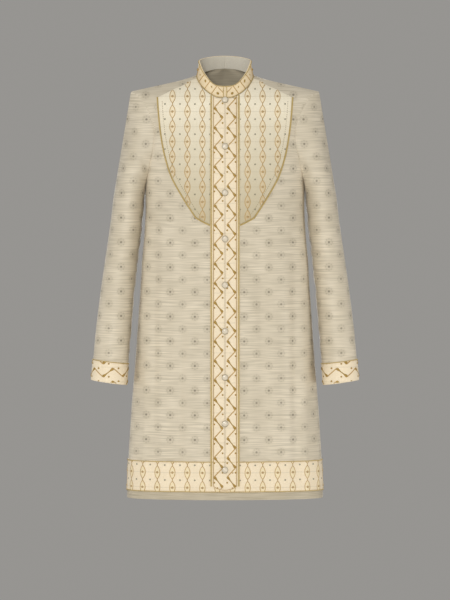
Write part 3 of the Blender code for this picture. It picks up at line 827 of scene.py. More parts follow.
def shares_in_triangle(point, corners):
    """How much of each corner is in a point of a triangle."""
    a, b, c = corners
    across, up, to = b - a, c - a, point - a
    aa, ab, bb = across @ across, across @ up, up @ up
    pa, pb = to @ across, to @ up
    scale = aa * bb - ab * ab
    second, third = (bb * pa - ab * pb) / scale, (aa * pb - ab * pa) / scale
    return np.array([1 - second - third, second, third])


def dropped(places, lift):
    """Cloth over a grid of places, which are x and z seen from the front, lifted off the fronts."""
    points, outs, flats = [], [], []
    for x, z in places.reshape(-1, 2):
        x = x if abs(x) > CENTRE_NUDGE else CENTRE_NUDGE
        hit = fabric_tree.ray_cast((x, RAY_START, z), (0.0, 1.0, 0.0))
        if hit[0] is None or hit[0].y > RAY_PASSED:
            hit = fabric_tree.find_nearest((x, np.interp(abs(x), SHOULDER_X, SHOULDER_Y), z))
        corners = fabric_triangles[hit[2]]
        shares = shares_in_triangle(np.array(hit[0]), fabric.points[corners])
        points.append(hit[0])
        outs.append(unit(shares @ fabric.out[corners]))
        flats.append(shares @ fabric.flat[corners])
    cloth = Cloth(*[np.array(part).reshape(*places.shape[:2], -1) for part in (points, outs, flats)])
    return cloth._replace(points=cloth.points + cloth.out * lift[..., None])


print("rays start at y", RAY_START)

# %% Edges of a trim
GAP = 0.3  # between a trim and the cloth below it
TRIM = 1.0  # thickness of a trim
ROLL_NEAR = 0.85  # share of that thickness close to an edge, where the cloth is turned under
ROLL_EDGE = 0.35  # and at the edge itself
CLOSE_TO_EDGE = 1.0  # how far the point beside an edge is from it
CURVE_STEPS = 8  # fine points for each place of an outline


def rolled(rows, columns, sides=True):
    """Lift over a grid whose last rows and columns lie close to its edges, where it is lower."""
    lift = np.full((rows, columns), GAP + TRIM)
    for row, share in ((1, ROLL_NEAR), (-2, ROLL_NEAR), (0, ROLL_EDGE), (-1, ROLL_EDGE)):
        lift[row] = GAP + share * TRIM
        if sides:
            lift[:, row] = np.minimum(lift[:, row], GAP + share * TRIM)
    return lift


def edge_shares(count, length):
    """Shares along a line of a given length, with one more point close to each end."""
    close = CLOSE_TO_EDGE / length
    return np.concatenate([[0.0, close], np.linspace(0.0, 1.0, count)[1:-1], [1 - close, 1.0]])


def at_shares(line, shares):
    """Points at shares of a line's length."""
    own = length_shares(line)
    return np.column_stack([np.interp(shares, own, values) for values in line.T])


def through(places, count):
    """Evenly spaced points on a smooth curve through the given places."""
    return at_shares(smooth_rows(places, CURVE_STEPS), np.linspace(0.0, 1.0, count))


print("a trim rises from", GAP + ROLL_EDGE * TRIM, "to", GAP + TRIM, "mm")

# %% The bibs
BRAID_OUTER_EDGE = 34.8
BIB_INNER_EDGE = BRAID_OUTER_EDGE + GAP
BIB_OUTER = [(160, -48), (156.5, -94), (147.5, -161), (129.5, -228), (100, -284), (68.5, -333)]
BIB_LOWER = [(BIB_INNER_EDGE, -350.5), (52, -342.3), (68.5, -333)]
BIB_NECK = [(BIB_INNER_EDGE, -41.2), (49.5, -30.2), (59.6, -19), (65.6, -9), (67.6, -3.4)]
BIB_SHOULDER = [(67.6, -3.4), (84, -9.6), (102, -20.6), (123.4, -29.4), (142, -39), (160, -48)]
BIB_HEIGHT = 330.0
BIB_EDGE_POINTS = 120
BIB_ROWS = 64
BIB_LEVEL_ROW = 12  # the rows above it still bend up to the neck
NECK_COLUMNS = 12
SHOULDER_COLUMNS = 26


def patch(top, low, inner, outer):
    """Places between four edges: a blend of the edges that face each other."""
    s = length_shares(low)[None, :, None]
    t = length_shares(outer)[:, None, None]
    between_rows = (1 - t) * top[None] + t * low[None]
    between_sides = (1 - s) * inner[:, None] + s * outer[:, None]
    corners = ((1 - s) * (1 - t) * top[0] + s * (1 - t) * top[-1]
               + (1 - s) * t * low[0] + s * t * low[-1])
    return between_rows + between_sides - corners


def bib_places(side):
    """Places of a bib, from its top along the neck and the shoulder down to its point."""
    neck = through(BIB_NECK, NECK_COLUMNS + 1)
    top = np.vstack([neck[:-1], through(BIB_SHOULDER, SHOULDER_COLUMNS)])
    low = through(BIB_LOWER, len(top))
    down = edge_shares(BIB_ROWS, BIB_HEIGHT)
    outer = at_shares(through(BIB_OUTER, BIB_EDGE_POINTS), down)
    inner = np.column_stack([np.full(len(down), BIB_INNER_EDGE),
                             top[0, 1] + (low[0, 1] - top[0, 1]) * down])
    return patch(top, low, inner, outer) * [side, 1.0]


bib_cloth = {}
for name, side in SIDES.items():
    places = bib_places(side)
    bib_cloth[side] = dropped(places, rolled(*places.shape[:2]))
    cut_out("bib_" + name, "bib_" + name + "_satin", [bib_cloth[side]], slice(BIB_LEVEL_ROW, None))
print("a bib has", bib_cloth[1].points.shape[:2], "points")

# %% The placket
PLACKET_HALF_WIDTH = 28.0
PLACKET_LENGTH = 935.0
PLACKET_SIDE_END = -976.0
PLACKET_TIP = -985.0
PLACKET_ROWS = 200
PLACKET_COLUMNS = 15
FOOT_DEPTH = PLACKET_SIDE_END - PLACKET_TIP  # its foot is an arc of a circle
FOOT_RADIUS = (PLACKET_HALF_WIDTH ** 2 + FOOT_DEPTH ** 2) / (2 * FOOT_DEPTH)
NECKLINE = [(0, -51.4), (18, -49), (28, -45.2), (35, -41)]
BAND_START = 3.0  # above the hem band a strip starts to climb over it
BAND_CLIMB = 4.0  # and the climb takes this much height


def over_band(z):
    """Extra lift where a strip crosses the upper edge of the hem band."""
    return (GAP + TRIM) * eased((BAND_TOP + BAND_START - z) / BAND_CLIMB)


def placket_places():
    across = PLACKET_HALF_WIDTH * (2 * edge_shares(PLACKET_COLUMNS, 2 * PLACKET_HALF_WIDTH) - 1)
    top = np.interp(np.abs(across), *zip(*NECKLINE))
    low = PLACKET_TIP + FOOT_RADIUS - np.sqrt(FOOT_RADIUS ** 2 - across ** 2)
    z = top + (low - top) * edge_shares(PLACKET_ROWS, PLACKET_LENGTH)[:, None]
    return np.dstack([np.broadcast_to(across, z.shape), z])


places = placket_places()
placket_cloth = dropped(places, rolled(*places.shape[:2]) + over_band(places[..., 1]))
cut_out("placket", "placket_satin", [placket_cloth])
print("the placket has", placket_cloth.points.shape[:2], "points")

# %% Strips beside the placket
STRIP_INNER = PLACKET_HALF_WIDTH + GAP
STRIP_OUTER = BRAID_OUTER_EDGE + 0.2
STRIP_THICKNESS = 0.7
STRIP_ROWS = 170
STRIP_COLUMNS = 5


def strip_places(side):
    across = np.linspace(STRIP_INNER, STRIP_OUTER, STRIP_COLUMNS)
    top = np.interp(across, *zip(*NECKLINE))
    z = top + (PLACKET_SIDE_END - top) * np.linspace(0.0, 1.0, STRIP_ROWS)[:, None]
    return np.dstack([np.broadcast_to(across * side, z.shape), z])


for name, side in SIDES.items():
    places = strip_places(side)
    strip = dropped(places, GAP + STRIP_THICKNESS + over_band(places[..., 1]))
    cut_out("placket_braid_" + name, "placket_strip_" + name, [strip])
print("each strip is", round(STRIP_OUTER - STRIP_INNER, 1), "mm wide")

# %% The hem band and the cuffs
BAND_ROWS = slice(-1 - 2 * ROW_STEPS, -ROW_STEPS)
BAND_NEAR = 0.08  # share of a row that is close to an edge, about 1 mm
CUFF_NEAR = 0.12


def between_rows(cloth, share):
    """Rows of a cloth at fractional row numbers."""
    low = np.clip(np.floor(share).astype(int), 0, len(cloth.points) - 2)
    t = (share - low)[:, None, None]
    return Cloth(*[part[low] * (1 - t) + part[low + 1] * t for part in cloth])


def banded(cloth, rows, near):
    """A band over rows of a cloth, with rolled upper and lower edges."""
    part = Cloth(*[values[rows] for values in cloth])
    last = len(part.points) - 1
    band = between_rows(part, np.concatenate([[0.0, near], np.arange(1, last), [last - near, last]]))
    lift = rolled(len(band.points), 1, sides=False)[..., None]
    return band._replace(points=band.points + band.out * lift)


bands = {}
for name, side in SIDES.items():
    bands["hem_band_" + name] = [banded(front_cloth[side], BAND_ROWS, BAND_NEAR)]
    bands["cuff_" + name] = [banded(sleeve_cloth[side], slice(-CUFF_ROWS, None), CUFF_NEAR)]
bands["hem_band_back"] = [banded(cloth, BAND_ROWS, BAND_NEAR) for cloth in back_cloth.values()]
for name, cloths in bands.items():
    cut_out(name, name + "_satin", cloths)
print("band and cuffs:", [len(pieces[n].data.polygons) for n in ("hem_band_left", "cuff_left")])

# %% [markdown]
# ## The stand collar
# The collar is a stiffened band round the neck, lowest and sloping in front, upright behind. It could
# be cut from a tube, but its rim is no plain curve. So the rim is drawn as a smooth line through points
# in space, and the band runs from the neckline up to it. Its ends meet at the centre front. Its flat
# coordinates run along the band from the centre front and up from the seam.

# %% The rim of the collar
COLLAR_RIM_FRONT = np.array([  # x, y and z
    (0, -65.6, -20), (12, -64.6, -19.6), (24, -61.3, -16.6), (35, -56, -8),
    (46, -47, 5), (54.7, -36, 18), (60.5, -22, 31.5), (62.4, -7, 38.5)])
COLLAR_RIM_BACK = np.array([
    (62.4, -7, 38.5), (58.5, 13, 42.5), (43, 32, 46.5), (22, 42, 49.3), (0, 45, 50)])
RIM_STEPS = 6
MIRRORED = np.array([-1.0, 1.0, 1.0])


def smooth_line(points, before, after):
    """A smooth curve through points in space, aimed by one more point before and after them."""
    padded = np.vstack([before, points, after])
    line = []
    for a, b, c, d in zip(padded, padded[1:], padded[2:], padded[3:]):
        for t in np.arange(RIM_STEPS) / RIM_STEPS:
            line.append(0.5 * (2 * b + (c - a) * t + (2 * a - 5 * b + 4 * c - d) * t ** 2
                               + (3 * b - a - 3 * c + d) * t ** 3))
    return np.array(line + [points[-1]])


front_rim = smooth_line(COLLAR_RIM_FRONT, MIRRORED * COLLAR_RIM_FRONT[1], COLLAR_RIM_BACK[1])
back_rim = smooth_line(COLLAR_RIM_BACK, COLLAR_RIM_FRONT[-2], MIRRORED * COLLAR_RIM_BACK[-2])
print("half the rim has", len(front_rim) + len(back_rim) - 1, "points")

# %% The collar
COLLAR_GAP = 0.6  # between its foot and the neckline
COLLAR_ROWS = 14
COLLAR_DEPTH = 45.0


def collar_cloth():
    """The collar's outer face, from the wearer's left end round the back to the right end."""
    neck_front = fronts[1][FRONT_CENTRE::-1, 0]
    neck_back = backs[1][:BACK_CENTRE + 1, 0]
    rim = np.vstack([at_shares(front_rim, length_shares(neck_front)),
                     at_shares(back_rim, length_shares(neck_back))[1:]])
    foot = np.vstack([neck_front, neck_back[1:]])
    foot = foot + unit(rim - foot) * COLLAR_GAP
    up = edge_shares(COLLAR_ROWS, COLLAR_DEPTH)[::-1, None, None]
    half = foot + (rim - foot) * up
    half[:, 0, 0] += GAP / 2
    whole = np.concatenate([half[:, :-1], half[:, ::-1] * MIRRORED], axis=1)
    out = grid_normals(whole, whole.mean(axis=(0, 1)))
    middle = whole[len(up) // 2]
    along = length_shares(middle) * np.linalg.norm(np.diff(middle, axis=0), axis=1).sum()
    height = np.linalg.norm(whole - whole[-1], axis=-1)
    return Cloth(whole, out, np.dstack([np.broadcast_to(along, height.shape), height]))


collar = collar_cloth()
cut_out("collar", "collar_satin", [collar])
collar_length = collar.flat[0, -1, 0]
print("the collar is", round(collar_length), "mm long,", round(collar.flat[0, 0, 1]), "mm deep in front")

# %% [markdown]
# ## Cloth materials
# Dupion is a crisp plain weave of silk. Its weft is spun from double cocoons, so thick places, called
# slubs, run across it and catch the light. An image of such cloth would repeat, so here they are noise
# drawn out into long streaks, 1 to 3 mm high. A small flower is woven in at staggered places. The trims
# are ivory silk satin, smoother and brighter, with faint rows of running stitches. All patterns are
# laid out in the flat coordinates, in millimetres, so they keep their real sizes on every piece.

# %% Helpers for materials
SMOOTH = {"interpolation_type": "SMOOTHSTEP"}
COLOURS = {"data_type": "RGBA"}
CLOTH_SPECULAR = 0.3  # silk's threads scatter most of what a smooth face would mirror
SHEEN_ROUGHNESS = 0.6


def cloth_material(name, roughness, sheen):
    """A material with its shader, and the cloth's flat coordinates in millimetres."""
    made, tree, shader = start_material(name, roughness)
    shader.inputs["Specular IOR Level"].default_value = CLOTH_SPECULAR
    shader.inputs["Sheen Weight"].default_value = sheen
    shader.inputs["Sheen Roughness"].default_value = SHEEN_ROUGHNESS
    return made, tree, shader, add(tree, "VectorMath SCALE", add(tree, "UVMap", uv_map="Cut"), 1 / MM)


def streaks(tree, flat, size, detail=2.0):
    """Noise drawn out across the cloth, to streaks of a length and a height."""
    stretched = add(tree, "VectorMath MULTIPLY", flat, (1 / size[0], 1 / size[1], 0.0))
    return add(tree, "TexNoise", stretched, 1.0, detail, noise_dimensions="2D")


def finish_material(tree, shader, colour, height, strength, distance):
    """Link the colour, and the height through a bump."""
    tree.links.new(way_out(colour), shader.inputs["Base Color"])
    bump = add(tree, "Bump", strength, distance * MM, None, height)
    tree.links.new(way_out(bump), shader.inputs["Normal"])


print("noise streaks stand in for slubs")

# %% Woven flower of the dupion
FLOWER_PITCH = (58.95, 58.8)
FLOWER_PLACE = (-13.1, -453.35)
FLOWER_SETS = ((0.5, 1.0), (1.0, 0.8))  # shift in pitches, and strength of each staggered set
FLOWER_DOT = (3.4, 1.6)  # radius at which the dark middle ends, and at which it is full
FLOWER_GLOW = (15.0, 4.0)  # the same for the soft shade round it
PETALS = 8
PETAL_RING = 7.8
PETAL_REACH = (2.6, 0.8)  # how far the petals reach off their ring


def woven_flower(tree, flat, place):
    """Two shares: how much a point is in a flower's dark middle, and in its petals."""
    placed = add(tree, "VectorMath SUBTRACT", flat, (*place, 0.0))
    cells = add(tree, "VectorMath MULTIPLY", placed, (1 / FLOWER_PITCH[0], 1 / FLOWER_PITCH[1], 0.0))
    middles, petals = [], []
    for shift, strength in FLOWER_SETS:
        moved = add(tree, "VectorMath ADD", cells, (shift, shift, 0.0))
        within = add(tree, "VectorMath FRACTION", moved)
        centred = add(tree, "VectorMath SUBTRACT", within, (0.5, 0.5, 0.0))
        real = add(tree, "VectorMath MULTIPLY", centred, (*FLOWER_PITCH, 0.0))
        away = add(tree, "VectorMath LENGTH", real)
        x, y, _ = add(tree, "SeparateXYZ", real).outputs
        turn = add(tree, "Math MULTIPLY", add(tree, "Math ARCTAN2", y, x), float(PETALS))
        wave = add(tree, "MapRange", add(tree, "Math COSINE", turn), -0.9, 0.5, 0.4, 1.0, **SMOOTH)
        middles.append(add(tree, "MapRange", away, *FLOWER_DOT, 0.0, strength, **SMOOTH))
        off_ring = add(tree, "Math ABSOLUTE", add(tree, "Math SUBTRACT", away, PETAL_RING))
        ring = add(tree, "MapRange", off_ring, *PETAL_REACH, 0.0, strength, **SMOOTH)
        glow = add(tree, "MapRange", away, *FLOWER_GLOW, 0.0, 0.55 * strength, **SMOOTH)
        petals.append(add(tree, "Math MAXIMUM", add(tree, "Math MULTIPLY", ring, wave), glow))
    return add(tree, "Math MAXIMUM", *middles), add(tree, "Math MAXIMUM", *petals)


print("flowers every", FLOWER_PITCH, "mm, staggered")

# %% Silk dupion, its face and its reverse
SLUBS = (96.0, 1.7)  # long thick places of the weft
THREADS = (50.0, 0.9)  # and its finer unevenness
THICK_SLUBS = (60.0, 2.0)  # the few thickest, which are darker
CLOUDS = (60.0, 90.0)  # uneven dye
WEAVE_SCALE = 0.45  # warp threads 0.7 mm apart, because real ones are too fine to show


def dupion(name, light, dark, flowers, roughness):
    """Plain-woven silk with slubs across, and a darker woven flower where it has a place."""
    made, tree, shader, flat = cloth_material(name, roughness, 0.12)
    light, dark = linear(light), linear(dark)
    slubs, threads, thickest = (streaks(tree, flat, size, 0.0) for size in (SLUBS, THREADS, THICK_SLUBS))
    both = add(tree, "Math ADD", add(tree, "Math MULTIPLY", slubs, 0.5),
               add(tree, "Math MULTIPLY", threads, 0.5))
    tone = add(tree, "MapRange", both, 0.34, 0.62, **SMOOTH)
    thick = add(tree, "MapRange", thickest, 0.64, 0.8, 0.0, 0.6, **SMOOTH)
    cloudy = add(tree, "MapRange", streaks(tree, flat, CLOUDS, 1.0), 0.35, 0.65, 0.0, 0.35, **SMOOTH)
    colour = add(tree, "Mix", tone, dark, light, **COLOURS)
    colour = add(tree, "Mix", thick, colour, dark, **COLOURS)
    colour = add(tree, "Mix", cloudy, colour, dark, **COLOURS)
    if flowers:
        middle, petals = woven_flower(tree, flat, flowers)
        for share, strength, thread_colour in ((petals, 0.52, "#a1967f"), (middle, 0.85, "#7c7363")):
            share = add(tree, "Math MULTIPLY", share, strength)
            colour = add(tree, "Mix", share, colour, linear(thread_colour), **COLOURS)
    weave = add(tree, "TexWave", flat, WEAVE_SCALE, 0.6, bands_direction="X").outputs["Fac"]
    height = add(tree, "Math ADD", both, add(tree, "Math MULTIPLY", weave, 0.1))
    finish_material(tree, shader, colour, height, 0.5, 0.4)
    return made


# Silk dupion, plain-woven and crisp: greyed cream with a soft sheen, uneven streaks and dark flowers.
silk = dupion("silk_dupion", "#dfd4be", "#c4b9a2", FLOWER_PLACE, 0.5)
# The same cloth, cut so that its flowers mirror those of the other sleeve.
silk_left_sleeve = dupion("silk_dupion_left_sleeve", "#dfd4be", "#c4b9a2",
                          (-FLOWER_PLACE[0], FLOWER_PLACE[1]), 0.5)
# The turned hem below the band, three layers pressed flat: duller, with no flower showing, and darker,
# which is painted shade under the band.
silk_hem_painted_shade = dupion("silk_dupion_turned_hem", "#c6bba4", "#aea38c", None, 0.55)
# The reverse, which shows only inside the coat, is unpressed: darker and nearly matt.
silk_reverse = dupion("silk_dupion_reverse", "#c2b7a0", "#b0a58e", None, 0.65)
print(silk.name, "and", silk_reverse.name)

# %% Ivory satin of the trims
LATTICE = (35.85, 35.75)  # pitch of the motifs on the trims, across and up
LENS_START = -10.45  # height of the lens row that lies just above the bibs
BAND_LENS_START = -907.4  # and of the row that only shows its tips in the hem band
SATIN_GRAIN = (5.0, 0.9)
SATIN_CLOUDS = (46.0, 30.0)
DOT_PITCH = 3.4  # small filling stitches all over
STITCH_LENGTH = 2.4  # running stitches in rows
STITCH_SHARE = 0.6  # share of that length that shows
STITCH_EDGE = (1.0, 0.3)  # half the width of a row, at its soft edge and where it is full
# The next two heights bound the painted shade: its colour is palest at the top and darkest at the foot.
PAINTED_SHADE_TOP = -60.0  # a deepened piece is palest here
PAINTED_SHADE_FOOT = -380.0  # and deepest here


def running_stitches(tree, x, y, start):
    """How much a point is in the rows of running stitches that lie level from a start."""
    row = add(tree, "Math DIVIDE", add(tree, "Math SUBTRACT", y, start), LATTICE[1])
    off_row = add(tree, "Math ABSOLUTE", add(tree, "Math SUBTRACT", row, add(tree, "Math ROUND", row)))
    on_row = add(tree, "MapRange", off_row, *[edge / LATTICE[1] for edge in STITCH_EDGE], **SMOOTH)
    dash = add(tree, "Math FRACT", add(tree, "Math DIVIDE", x, STITCH_LENGTH))
    return add(tree, "Math MULTIPLY", on_row, add(tree, "Math LESS_THAN", dash, STITCH_SHARE))


def satin(name, light, dark, start=None, painted_shade_tone=None):
    """Satin in two close tones, dotted with small stitches, and with rows of them from a start. A third
    tone, where one is given, is painted shade that darkens it towards the foot of the piece."""
    made, tree, shader, flat = cloth_material(name, 0.55, 0.1)
    light, dark = linear(light), linear(dark)
    x, y, _ = add(tree, "SeparateXYZ", flat).outputs
    grain = streaks(tree, flat, SATIN_GRAIN)
    tone = add(tree, "MapRange", grain, 0.3, 0.7, **SMOOTH)
    cloudy = add(tree, "MapRange", streaks(tree, flat, SATIN_CLOUDS, 1.0), 0.35, 0.7, 0.0, 0.3, **SMOOTH)
    colour = add(tree, "Mix", tone, dark, light, **COLOURS)
    colour = add(tree, "Mix", cloudy, colour, dark, **COLOURS)
    # Painted shade: the colour darkens from the top of the piece to its foot.
    if painted_shade_tone:
        low = add(tree, "MapRange", y, PAINTED_SHADE_TOP, PAINTED_SHADE_FOOT)
        colour = add(tree, "Mix", low, colour, linear(painted_shade_tone), **COLOURS)
    waves = [add(tree, "Math COSINE", add(tree, "Math MULTIPLY", way, 2 * math.pi / DOT_PITCH))
             for way in (x, y)]
    dotted = add(tree, "MapRange", add(tree, "Math ADD", *waves), 0.6, 1.8, 0.0, 0.3, **SMOOTH)
    colour = add(tree, "Mix", dotted, colour, linear("#b3a888"), **COLOURS)
    height = add(tree, "Math ADD", add(tree, "Math MULTIPLY", grain, 0.6), dotted)
    if start:
        stitch = running_stitches(tree, x, y, start)
        share = add(tree, "Math MULTIPLY", stitch, 0.5)
        colour = add(tree, "Mix", share, colour, linear("#a89d80"), **COLOURS)
        height = add(tree, "Math ADD", height, stitch)
    finish_material(tree, shader, colour, height, 0.4, 0.3)
    return made


# Silk satin of the bibs, closely stitched: bright ivory above, with painted shade that darkens it to a
# warm grey at the foot.
satin_bib = satin("ivory_satin_bib", "#f5ecd6", "#ebe1c7", LENS_START, "#b8ab8b")
# Satin of the placket, the bands and the cuffs: a warmer ivory, even and bright.
satin_trim = satin("ivory_satin_trim", "#f4e5ca", "#ead9ba", BAND_LENS_START)
# Satin over stiffening: the warmest ivory, smooth, with no rows of stitches.
satin_collar = satin("ivory_satin_collar", "#f5e2be", "#ead4ab")
# Narrow silk strips under the braid: a pale line on both sides of it.
satin_strip = satin("pale_silk_strip", "#f3e4c4", "#e8d6b2")
# Facing inside the collar: nearly white, so that it is light even in its own shade.
collar_reverse = satin("pale_silk_collar_reverse", "#fbf5e6", "#f5edda")
print(satin_bib.name, satin_trim.name, satin_collar.name)

# %% [markdown]
# ## Thread materials
# The embroidery is worked in zari, a silk thread wound with thin gilt strip, which is why it looks like
# dull metal in small broken glints. A fully metallic shader would be too bright and clean for it, so
# most of its colour is in the thread and only a share is metal. The twist is too fine to model on each
# thread, so short noise streaks give its two tones. The braid is the same thread in a lighter gold.

# %% Threads
TWIST_GRAIN = 0.7  # size of a thread's streaks
FLOSS_GRAIN = 1.2  # and of the loose floss that fills a motif


def thread(name, light, dark, metallic, roughness, grain=TWIST_GRAIN, painted_shade_tone=None):
    """A twisted thread: two tones in short streaks, with a bumpy surface. A third tone, where one is
    given, is painted shade that darkens it down the bib, as on the satin below it."""
    made, tree, shader = start_material(name, roughness)
    shader.inputs["Metallic"].default_value = metallic
    place = add(tree, "TexCoord").outputs["Object"]
    noise = add(tree, "TexNoise", place, 1 / (grain * MM), 2.0)
    tone = add(tree, "MapRange", noise, 0.35, 0.65, **SMOOTH)
    colour = add(tree, "Mix", tone, linear(dark), linear(light), **COLOURS)
    # Painted shade: the colour darkens with height, down the bib.
    if painted_shade_tone:
        z = add(tree, "SeparateXYZ", place).outputs["Z"]
        low = add(tree, "MapRange", z, PAINTED_SHADE_TOP * MM, PAINTED_SHADE_FOOT * MM)
        colour = add(tree, "Mix", low, colour, linear(painted_shade_tone), **COLOURS)
    finish_material(tree, shader, colour, noise, 0.5, 0.2)
    return made


# Antique zari in thick satin stitch: the darkest gold, with small warm glints.
zari_dark = thread("zari_antique_gold", "#b8974c", "#94742f", 0.2, 0.5)
# The same thread couched as one line: softer, because the ivory shows between its turns.
zari_line = thread("zari_soft_gold", "#c9a66a", "#aa884c", 0.15, 0.55)
# Plaited and twisted gilt braid: the palest gold and the brightest glints.
braid_gold = thread("gold_braid_thread", "#d9c181", "#ae9557", 0.25, 0.45)
# Plain silk, grey-green and matt: quiet dots between the golden motifs.
grey_knot = thread("grey_green_silk_thread", "#9d9880", "#827e68", 0.0, 0.6)
# Zari with its gilt rubbed thin: a pale brown with hardly a glint.
zari_worn = thread("zari_worn_gold", "#c2a678", "#a58859", 0.1, 0.55)
# Untwisted silk floss: padded ivory fillings with a soft shine, and painted shade that darkens them down
# the bib.
filling_bib = thread("ivory_filling_bib", "#f3e5c6", "#ead9b5", 0.0, 0.5, FLOSS_GRAIN, "#bda981")
filling_band = thread("ivory_filling_band", "#efe0bd", "#e6d4ab", 0.0, 0.5, FLOSS_GRAIN)
# Plain silk along the middle of the placket: a thin matt grey-brown line.
edge_line = thread("grey_edge_thread", "#b7a88a", "#9d8f76", 0.0, 0.6)
# Cotton stitching thread: matt, a little darker than the satin that it holds.
stitching = thread("pale_stitching_thread", "#b3a584", "#978a6b", 0.0, 0.6)
print("nine threads, the darkest is", zari_dark.name)

# %% Pearl of the buttons
PEARL_EDGE_SHADE = 0.45  # how early the colour turns to that of its edge

# Pearl shell: a clear hard coat over a faintly coloured ground, so it shows a sharp light in a soft
# body. Where it turns from view its colour goes darker, which is painted shade round the dome's edge.
pearl, tree, shader = start_material("pearl_button", 0.35)
shader.inputs["Coat Weight"].default_value = 0.6
shader.inputs["Coat Roughness"].default_value = 0.08
# Painted shade: the base colour darkens towards the edge, where the dome turns from view.
facing = add(tree, "LayerWeight", PEARL_EDGE_SHADE).outputs["Facing"]
colour = add(tree, "Mix", facing, linear("#dbd0bb"), linear("#aca187"), **COLOURS)
tree.links.new(way_out(colour), shader.inputs["Base Color"])
# The rim is the same shell, cut back: a dull grey-brown ring without the coat's light.
pearl_rim, _, shader = start_material("pearl_button_rim", 0.5)
shader.inputs["Base Color"].default_value = linear("#8f866b")
print(pearl.name, "and", pearl_rim.name)

# %% [markdown]
# ## Laying threads on the cloth
# Every thread is first laid out flat, x across, y up and z for its height off the cloth. One node group
# then wraps this flat work on a piece: for each point it looks up the spot of the cloth that has the
# same flat coordinates, moves the point there, and raises it by its height along the cloth's outward
# direction. What falls outside the piece is removed. Motifs could be set on the cloth one by one, but
# then long threads would not follow its curve.

# %% Node group that wraps flat work on cloth
VECTORS = {"data_type": "FLOAT_VECTOR"}


def tree_with(name, inputs):
    """A geometry node tree with named inputs, and the sockets that give them."""
    tree = bpy.data.node_groups.new(name, "GeometryNodeTree")
    tree.interface.new_socket("Geometry", in_out="INPUT", socket_type="NodeSocketGeometry")
    for label, kind in inputs.items():
        tree.interface.new_socket(label, in_out="INPUT", socket_type="NodeSocket" + kind)
    tree.interface.new_socket("Geometry", in_out="OUTPUT", socket_type="NodeSocketGeometry")
    return tree, add(tree, "GroupInput").outputs


def make_wrap():
    tree, given = tree_with("Wrap on cloth", {"Cloth": "Object"})
    cloth = add(tree, "ObjectInfo", given["Cloth"]).outputs["Geometry"]
    cut, out = (add(tree, "InputNamedAttribute", name, **VECTORS) for name in ("Cut", "Out"))
    here = add(tree, "InputPosition")
    spot = add(tree, "SampleUVSurface", cloth, here, cut, here, **VECTORS)
    off_cloth = add(tree, "BooleanMath NOT", spot.outputs["Is Valid"])
    kept = add(tree, "DeleteGeometry", given["Geometry"], off_cloth, domain="POINT")
    outwards = add(tree, "VectorMath NORMALIZE",
                   add(tree, "SampleUVSurface", cloth, out, cut, here, **VECTORS))
    height = add(tree, "SeparateXYZ", here).outputs["Z"]
    moved = add(tree, "VectorMath ADD", spot, add(tree, "VectorMath SCALE", outwards, height))
    placed = add(tree, "SetPosition", kept, None, moved)
    add(tree, "GroupOutput", add(tree, "SetShadeSmooth", placed))
    return tree


def wrapped(tree, given, geometry, material, flatten=1.0):
    """The end of each thread tree: flatten, realize, wrap on the cloth and give the material."""
    flat = add(tree, "Transform", geometry, None, None, (1.0, 1.0, flatten))
    real = add(tree, "RealizeInstances", flat)
    laid = add(tree, "Group", real, given["Cloth"], node_tree=wrap)
    return add(tree, "SetMaterial", laid, None, material)


wrap = make_wrap()
print(wrap.name, "has", len(wrap.nodes), "nodes")

# %% Run a tree on a line of points
def evaluated_mesh(made):
    """The mesh of an object after its modifiers."""
    bpy.context.view_layer.update()
    return bpy.data.meshes.new_from_object(made.evaluated_get(bpy.context.evaluated_depsgraph_get()))


def run_tree(name, tree, values, points=(), linked=True):
    """The mesh that a tree makes on flat points, linked to a line or loose, as a new object."""
    edges = [(k, k + 1) for k in range(len(points) - 1)] if linked else []
    mesh = bpy.data.meshes.new(name)
    mesh.from_pydata([(x * MM, y * MM, 0.0) for x, y in points], edges, [])
    made = new_object(name, mesh)
    modifier = made.modifiers.new(tree.name, "NODES")
    modifier.node_group = tree
    for item in tree.interface.items_tree:
        if item.in_out == "INPUT" and item.name in values:
            modifier[item.identifier] = values[item.name]
    made.update_tag()
    result = evaluated_mesh(made)
    made.modifiers.remove(modifier)
    made.data = result
    return made


threads = {name: [] for name in pieces}


def lay(name, kind, tree, values):
    """What a tree makes on one piece, kept as its threads."""
    made = run_tree(pieces[name].name + "_" + kind, tree, {"Cloth": pieces[name]} | values)
    threads[name].append(made)
    print(made.name, len(made.data.polygons), "faces")


print(len(threads), "pieces can carry threads")

# %% [markdown]
# ## Lens motifs
# The bibs and the hem band carry columns of pointed lenses, a common border in this dress. Each is an
# outline of couched gold thread round a slightly padded ivory filling, with a gold knot in its middle.
# They could be bumps in the satin's material, but real work stands off its cloth and shades it. So one
# tree makes one lens and sets it at every place of a lattice, and the columns line up from the bib down
# to the hem. Grey-green knots stand between the columns.

# %% One lens
LENS_SIZE = (12.8, 30.5)
LENS_THREAD = 1.9
LENS_POINTS = 19  # points of one side of its outline
FILLING_CELLS = (5, 11)
OGEE = 0.72  # below 1 its sides are fuller than a cosine's
PADDING = 0.6  # rise of the filling in its middle
FILLING_BASE = 0.05  # and at its edge
BALL = (8, 5)  # sides and rings of a knot
THREAD_SIDES = 5  # few, because a trim has hundreds of threads


def round_profile(tree, given, sides=THREAD_SIDES):
    """The round section of a thread."""
    return add(tree, "CurvePrimitiveCircle", sides, add(tree, "Math MULTIPLY", given["Thread"], 0.5))


def lens_share(tree, given):
    """The lens's width at a point's height, as a share and in metres, and the point's x and y."""
    x, y, _ = add(tree, "SeparateXYZ", add(tree, "InputPosition")).outputs
    share = add(tree, "Math DIVIDE", y, given["Lens height"])
    bulge = add(tree, "Math COSINE", add(tree, "Math MULTIPLY", share, math.pi))
    ogee = add(tree, "Math POWER", add(tree, "Math MAXIMUM", bulge, 0.0), OGEE)
    return ogee, add(tree, "Math MULTIPLY", ogee, given["Lens width"]), x, y


